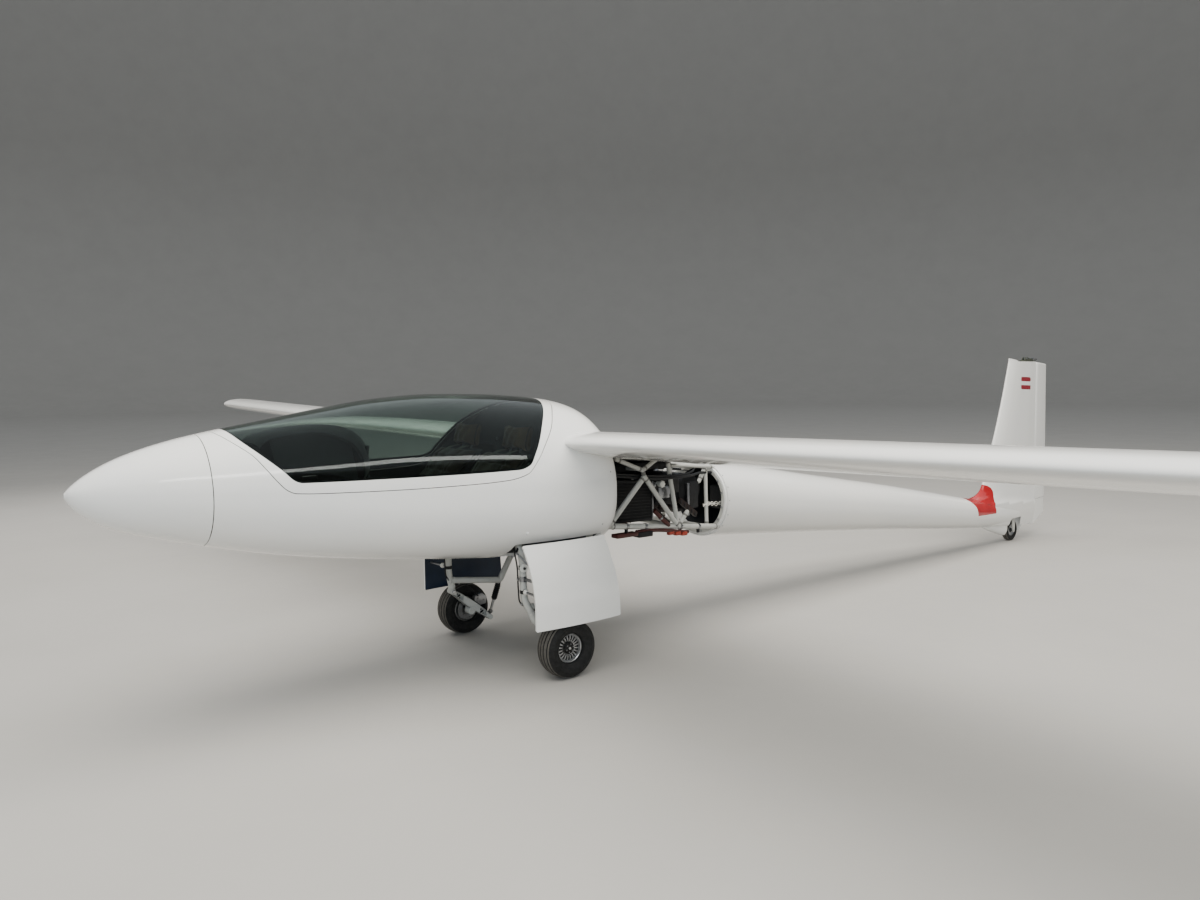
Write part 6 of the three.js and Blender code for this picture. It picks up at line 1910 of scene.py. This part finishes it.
def hub_mesh(name, body, replaces, x0, y0, r, w_in, w_out, rim, n_slots, sg, slot_len, cap_r, cap_mat, brake=True):
    s = Soup(MAT_ALLOY, MAT_STEEL, cap_mat, MAT_BLACK, MAT_CHROME)
    R = rim - 0.0006
    prof = [(R - 0.004, -w_in), (R, -w_in * 0.97), (R, -w_in * 0.86), (R - 0.003, -w_in * 0.78), (R - 0.003, w_out * 0.78), (R, w_out * 0.86), (R, w_out * 0.97), (R - 0.004, w_out),
            (R - 0.008, w_out * 0.90), (R - 0.009, w_out * 0.5), (R - 0.009, -w_in * 0.5), (R - 0.008, -w_in * 0.9)]
    s.turn(prof, (x0, y0, r), (1, 0, 0), 72, 0, closed=True)
    s.turn([(0.0135 if rim > 0.06 else 0.0088, -w_in * 0.92), (rim * 0.28, -w_in * 0.92), (rim * 0.30, -w_in * 0.6), (rim * 0.34, -w_in * 0.3), (R - 0.012, -w_in * 0.22), (R - 0.008, -w_in * 0.22)], (x0, y0, r), (1, 0, 0), 56, 0)
    s.turn([(cap_r * 0.9, w_out * 0.40), (R - 0.0092, w_out * 0.40)], (x0, y0, r), (1, 0, 0), 56, 3)
    s.turn([(0.0001, w_out * 0.96), (cap_r * 0.55, w_out * 0.955), (cap_r * 0.9, w_out * 0.90), (cap_r, w_out * 0.80), (cap_r, w_out * 0.52)], (x0, y0, r), (1, 0, 0), 40, 2)
    s.turn([(0.0001, w_out * 1.00), (cap_r * 0.24, w_out * 0.995), (cap_r * 0.28, w_out * 0.95)], (x0, y0, r), (1, 0, 0), 6, 4)
    for k in range(6):
        a = 2 * math.pi * k / 6 + 0.3
        rr_ = cap_r * 0.70
        s.turn([(0.0001, 0.0035), (0.0035, 0.0035), (0.004, 0.0), (0.004, -0.002)], (x0 + w_out * 0.945, y0 + rr_ * math.cos(a), r + rr_ * math.sin(a)), (1, 0, 0), 6, 1)
    if brake:
        s.turn([(0.030, -w_in - 0.0105), (0.066, -w_in - 0.0105), (0.066, -w_in - 0.0060), (0.030, -w_in - 0.0060)], (x0, y0, r), (1, 0, 0), 56, 1, closed=True)
        s.turn([(0.014, -w_in - 0.0105), (0.034, -w_in - 0.0105), (0.030, -w_in * 0.8), (0.014, -w_in * 0.8)], (x0, y0, r), (1, 0, 0), 40, 1, closed=True)
    # valve
    a = -0.35
    vy, vz = y0 + (R - 0.016) * math.cos(a), r + (R - 0.016) * math.sin(a)
    s.rod((x0 + w_out * 0.35, vy, vz), (x0 + w_out * 0.35 + 0.016, vy, vz), 0.0032, 10, 4, 0.0008)
    if sg < 0:
        s = s.mirror()
    s.make(name + "_rim", body, replaces, "wheel_alloy", 34)

    def face(u, v):
        u, v = np.asarray(u, float), np.asarray(v, float)
        t = (u - cap_r * 0.9) / (R - 0.0085 - cap_r * 0.9)
        dish = w_out * (0.52 + 0.14 * np.sin(np.clip(t, 0, 1) * np.pi) + 0.10 * np.clip(t, 0, 1))
        return np.stack([sg * (x0 + dish), y0 + u * np.cos(2 * np.pi * v), r + u * np.sin(2 * np.pi * v)], axis=-1)

    r0, r1 = cap_r * 0.9, R - 0.0085
    mid = lerp(r0, r1, 0.56)

    def slots(p):
        rr_ = np.hypot(p[..., 1] - y0, p[..., 2] - r)
        an = np.arctan2(p[..., 2] - r, p[..., 1] - y0)
        st = 2 * np.pi / n_slots
        q = (an / st - np.round(an / st)) * st * rr_
        dr = np.maximum(np.abs(rr_ - mid) - slot_len / 2, 0)
        wd = 0.0047 * (rr_ / mid) if rim > 0.06 else 0.0035 * (rr_ / mid)
        return np.hypot(dr, q) - wd

    f = Surf(face, np.linspace(r0, r1, 22), np.linspace(0, 1, n_slots * 10 + 1))
    f.clip(slots)
    f.build(name + "_disc", [MAT_ALLOY, MAT_STEEL], thick=0.0035, flip=(sg < 0), inner_mat=1, body=body, slot="wheel_alloy")


MAT_CAP = varied("hub_cap_dark", srgb(0x141516), 0.35, 0.3, spread=0.3, scale=90)
for sd, sg in (("left", 1), ("right", -1)):
    tyre_mesh("tyre_" + sd, "main_wheel_" + sd, ("main_tyre_" + sd,), 0.552, -2.010, 0.158, 0.128, 0.078, sg < 0)
    hub_mesh("wheel_" + sd, "main_wheel_" + sd, ("main_hub_" + sd,), 0.552, -2.010, 0.158, 0.042, 0.034, 0.078, 20, sg, 0.020, 0.031, MAT_CAP)

# ------------------------------------------------------------------ tail wheel
tyre_mesh("tyre_tail", "tail_wheel", ("tail_tyre",), 0.0, 3.572, 0.100, 0.060, 0.052, False, (0.30,), 0.004)
hub_mesh("wheel_tail", "tail_wheel", ("tail_hub",), 0.0, 3.572, 0.100, 0.020, 0.020, 0.052, 5, 1, 0.008, 0.020, MAT_CAP, False)
s = Soup(MAT_TUBE, MAT_STEEL, MAT_CHROME, MAT_RUBBER)
for sx in (-1, 1):
    s.prism([(sx * 0.0372, y, z) for y, z in ((3.558, 0.092), (3.563, 0.084), (3.581, 0.084), (3.588, 0.092), (3.591, 0.150), (3.590, 0.207), (3.536, 0.207), (3.545, 0.150))], (sx * 0.0072, 0, 0), 0, 0.0015)
    s.turn([(0.0001, 0.003), (0.008, 0.003), (0.0085, 0.0), (0.0085, -0.001)], (sx * 0.0443, 3.572, 0.100), (sx, 0, 0), 6, 2)
s.box((-0.0445, 3.534, 0.2065), (0.0445, 3.590, 0.2175), 0, 0.002)
s.rod((-0.043, 3.572, 0.100), (0.043, 3.572, 0.100), 0.0078, 20, 1)
s.make("tail_fork_detail", "tail_steering", ("tail_fork",), "frame_tube", 36)

# ------------------------------------------------------------------ propeller
s = Soup(MAT_STEEL, MAT_COMPOSITE, MAT_CHROME, MAT_BLACK)
s.turn([(0.0001, -0.058), (0.030, -0.0575), (0.047, -0.050), (0.055, -0.036), (0.0575, -0.015), (0.0575, 0.050), (0.052, 0.056), (0.0001, 0.0565)], (0, -3.742, 1.073), (0, 1, 0), 48, 0)
for k in range(6):
    a = 2 * math.pi * k / 6
    s.turn([(0.0001, 0.005), (0.006, 0.005), (0.0065, 0.0), (0.0065, -0.002)], (0.033 * math.cos(a), -3.7985, 1.073 + 0.033 * math.sin(a)), (0, -1, 0), 6, 2)
s.box((-0.188, -3.735, 1.045), (0.188, -3.709, 1.101), 0, 0.006)
for sx in (-1, 1):
    s.rod((sx * 0.160, -3.7355, 1.073), (sx * 0.160, -3.7085, 1.073), 0.016, 20, 2, 0.002)
ARC0 = math.radians(12)
for base in (0.0, math.pi):
    rows = []
    for k in range(61):
        t = k / 60
        a = base + ARC0 + math.radians(150) * t
        r1 = 0.2045
        wdt = lerp(0.062, 0.034, t) * (1 - max(0, (t - 0.94) / 0.06) ** 2 * 0.6) * (0.75 + 0.25 * min(1, t / 0.06))
        ring = []
        for j in range(16):
            b = 2 * math.pi * j / 16
            rr_ = r1 - wdt / 2 + wdt / 2 * math.cos(b)
            th_ = 0.0088 * math.sin(b) * (0.55 + 0.45 * (1 - abs(math.cos(b)) ** 3)) * (1 - 0.25 * t)
            ring.append((rr_ * math.cos(a), -3.722 + th_, 1.073 + rr_ * math.sin(a)))
        rows.append(ring)
    ring_loft(s, rows, 1)
s.make("propeller_folded", "propeller", ("propeller",), "blade_composite", 36)


# ------------------------------------------------------------------ stage and light
def plane_stage(name, mat):
    """Floor that turns up into a low round backdrop far away."""
    prof = [(0.0, 0.0), (14.0, 0.0), (28.0, 0.0), (44.0, 0.0)]
    prof += [(44.0 + 16.0 * math.sin(math.pi / 2 * k / 12), 16.0 - 16.0 * math.cos(math.pi / 2 * k / 12)) for k in range(1, 13)]
    prof += [(60.0, 34.0)]
    n = 96
    verts = [(0.0, 0.0, 0.0)]
    faces = []
    for r, z in prof[1:]:
        verts += [(r * math.cos(2 * math.pi * k / n), r * math.sin(2 * math.pi * k / n), z) for k in range(n)]
    for k in range(n):
        faces.append((0, 1 + k, 1 + (k + 1) % n))
    for q in range(len(prof) - 2):
        a, b = 1 + q * n, 1 + (q + 1) * n
        for k in range(n):
            faces.append((a + k, b + k, b + (k + 1) % n, a + (k + 1) % n))
    me = bpy.data.meshes.new(name)
    me.from_pydata(verts, [], faces)
    for poly in me.polygons:
        poly.use_smooth = True
    me.materials.append(mat.m)
    ob = bpy.data.objects.new(name, me)
    bpy.context.scene.collection.objects.link(ob)
    ob.location.z = -0.0006
    return ob


floor_mat = varied("studio_floor", (0.37, 0.358, 0.335), 0.6, spread=0.03, scale=0.8, bump=(60, 0.05, 0.002))
plane_stage("studio_floor", floor_mat)

world = bpy.data.worlds.new("studio")
bpy.context.scene.world = world
world.use_nodes = True
bg = world.node_tree.nodes["Background"]
bg.inputs["Color"].default_value = (0.80, 0.84, 0.88, 1)
bg.inputs["Strength"].default_value = 0.80


def area(name, loc, target, size, power, color=(1, 1, 1), glossy=True):
    data = bpy.data.lights.new(name, "AREA")
    data.shape, data.size, data.size_y = "RECTANGLE", size[0], size[1]
    data.energy, data.color = power, color
    ob = bpy.data.objects.new(name, data)
    ob.location = loc
    ob.rotation_euler = (Vector(target) - Vector(loc)).to_track_quat("-Z", "Y").to_euler()
    ob.visible_glossy = glossy
    ob.visible_transmission = glossy
    bpy.context.scene.collection.objects.link(ob)


area("key_above", (1.5, -0.5, 9.5), (0.0, -0.5, 0.8), (16, 9), 2500, (1.0, 0.955, 0.88), False)
area("fill_left", (9.0, -8.5, 3.4), (0.0, -1.5, 0.9), (7, 3), 520, (0.80, 0.90, 1.0), False)
area("rim_right", (-9.0, -3.0, 6.0), (0.0, -1.0, 1.0), (7, 4), 480, (1.0, 0.98, 0.95), False)
area("strip_high", (7.5, -2.5, 6.4), (0.0, -2.3, 1.1), (11.0, 0.8), 260, (1.0, 0.985, 0.95), True)
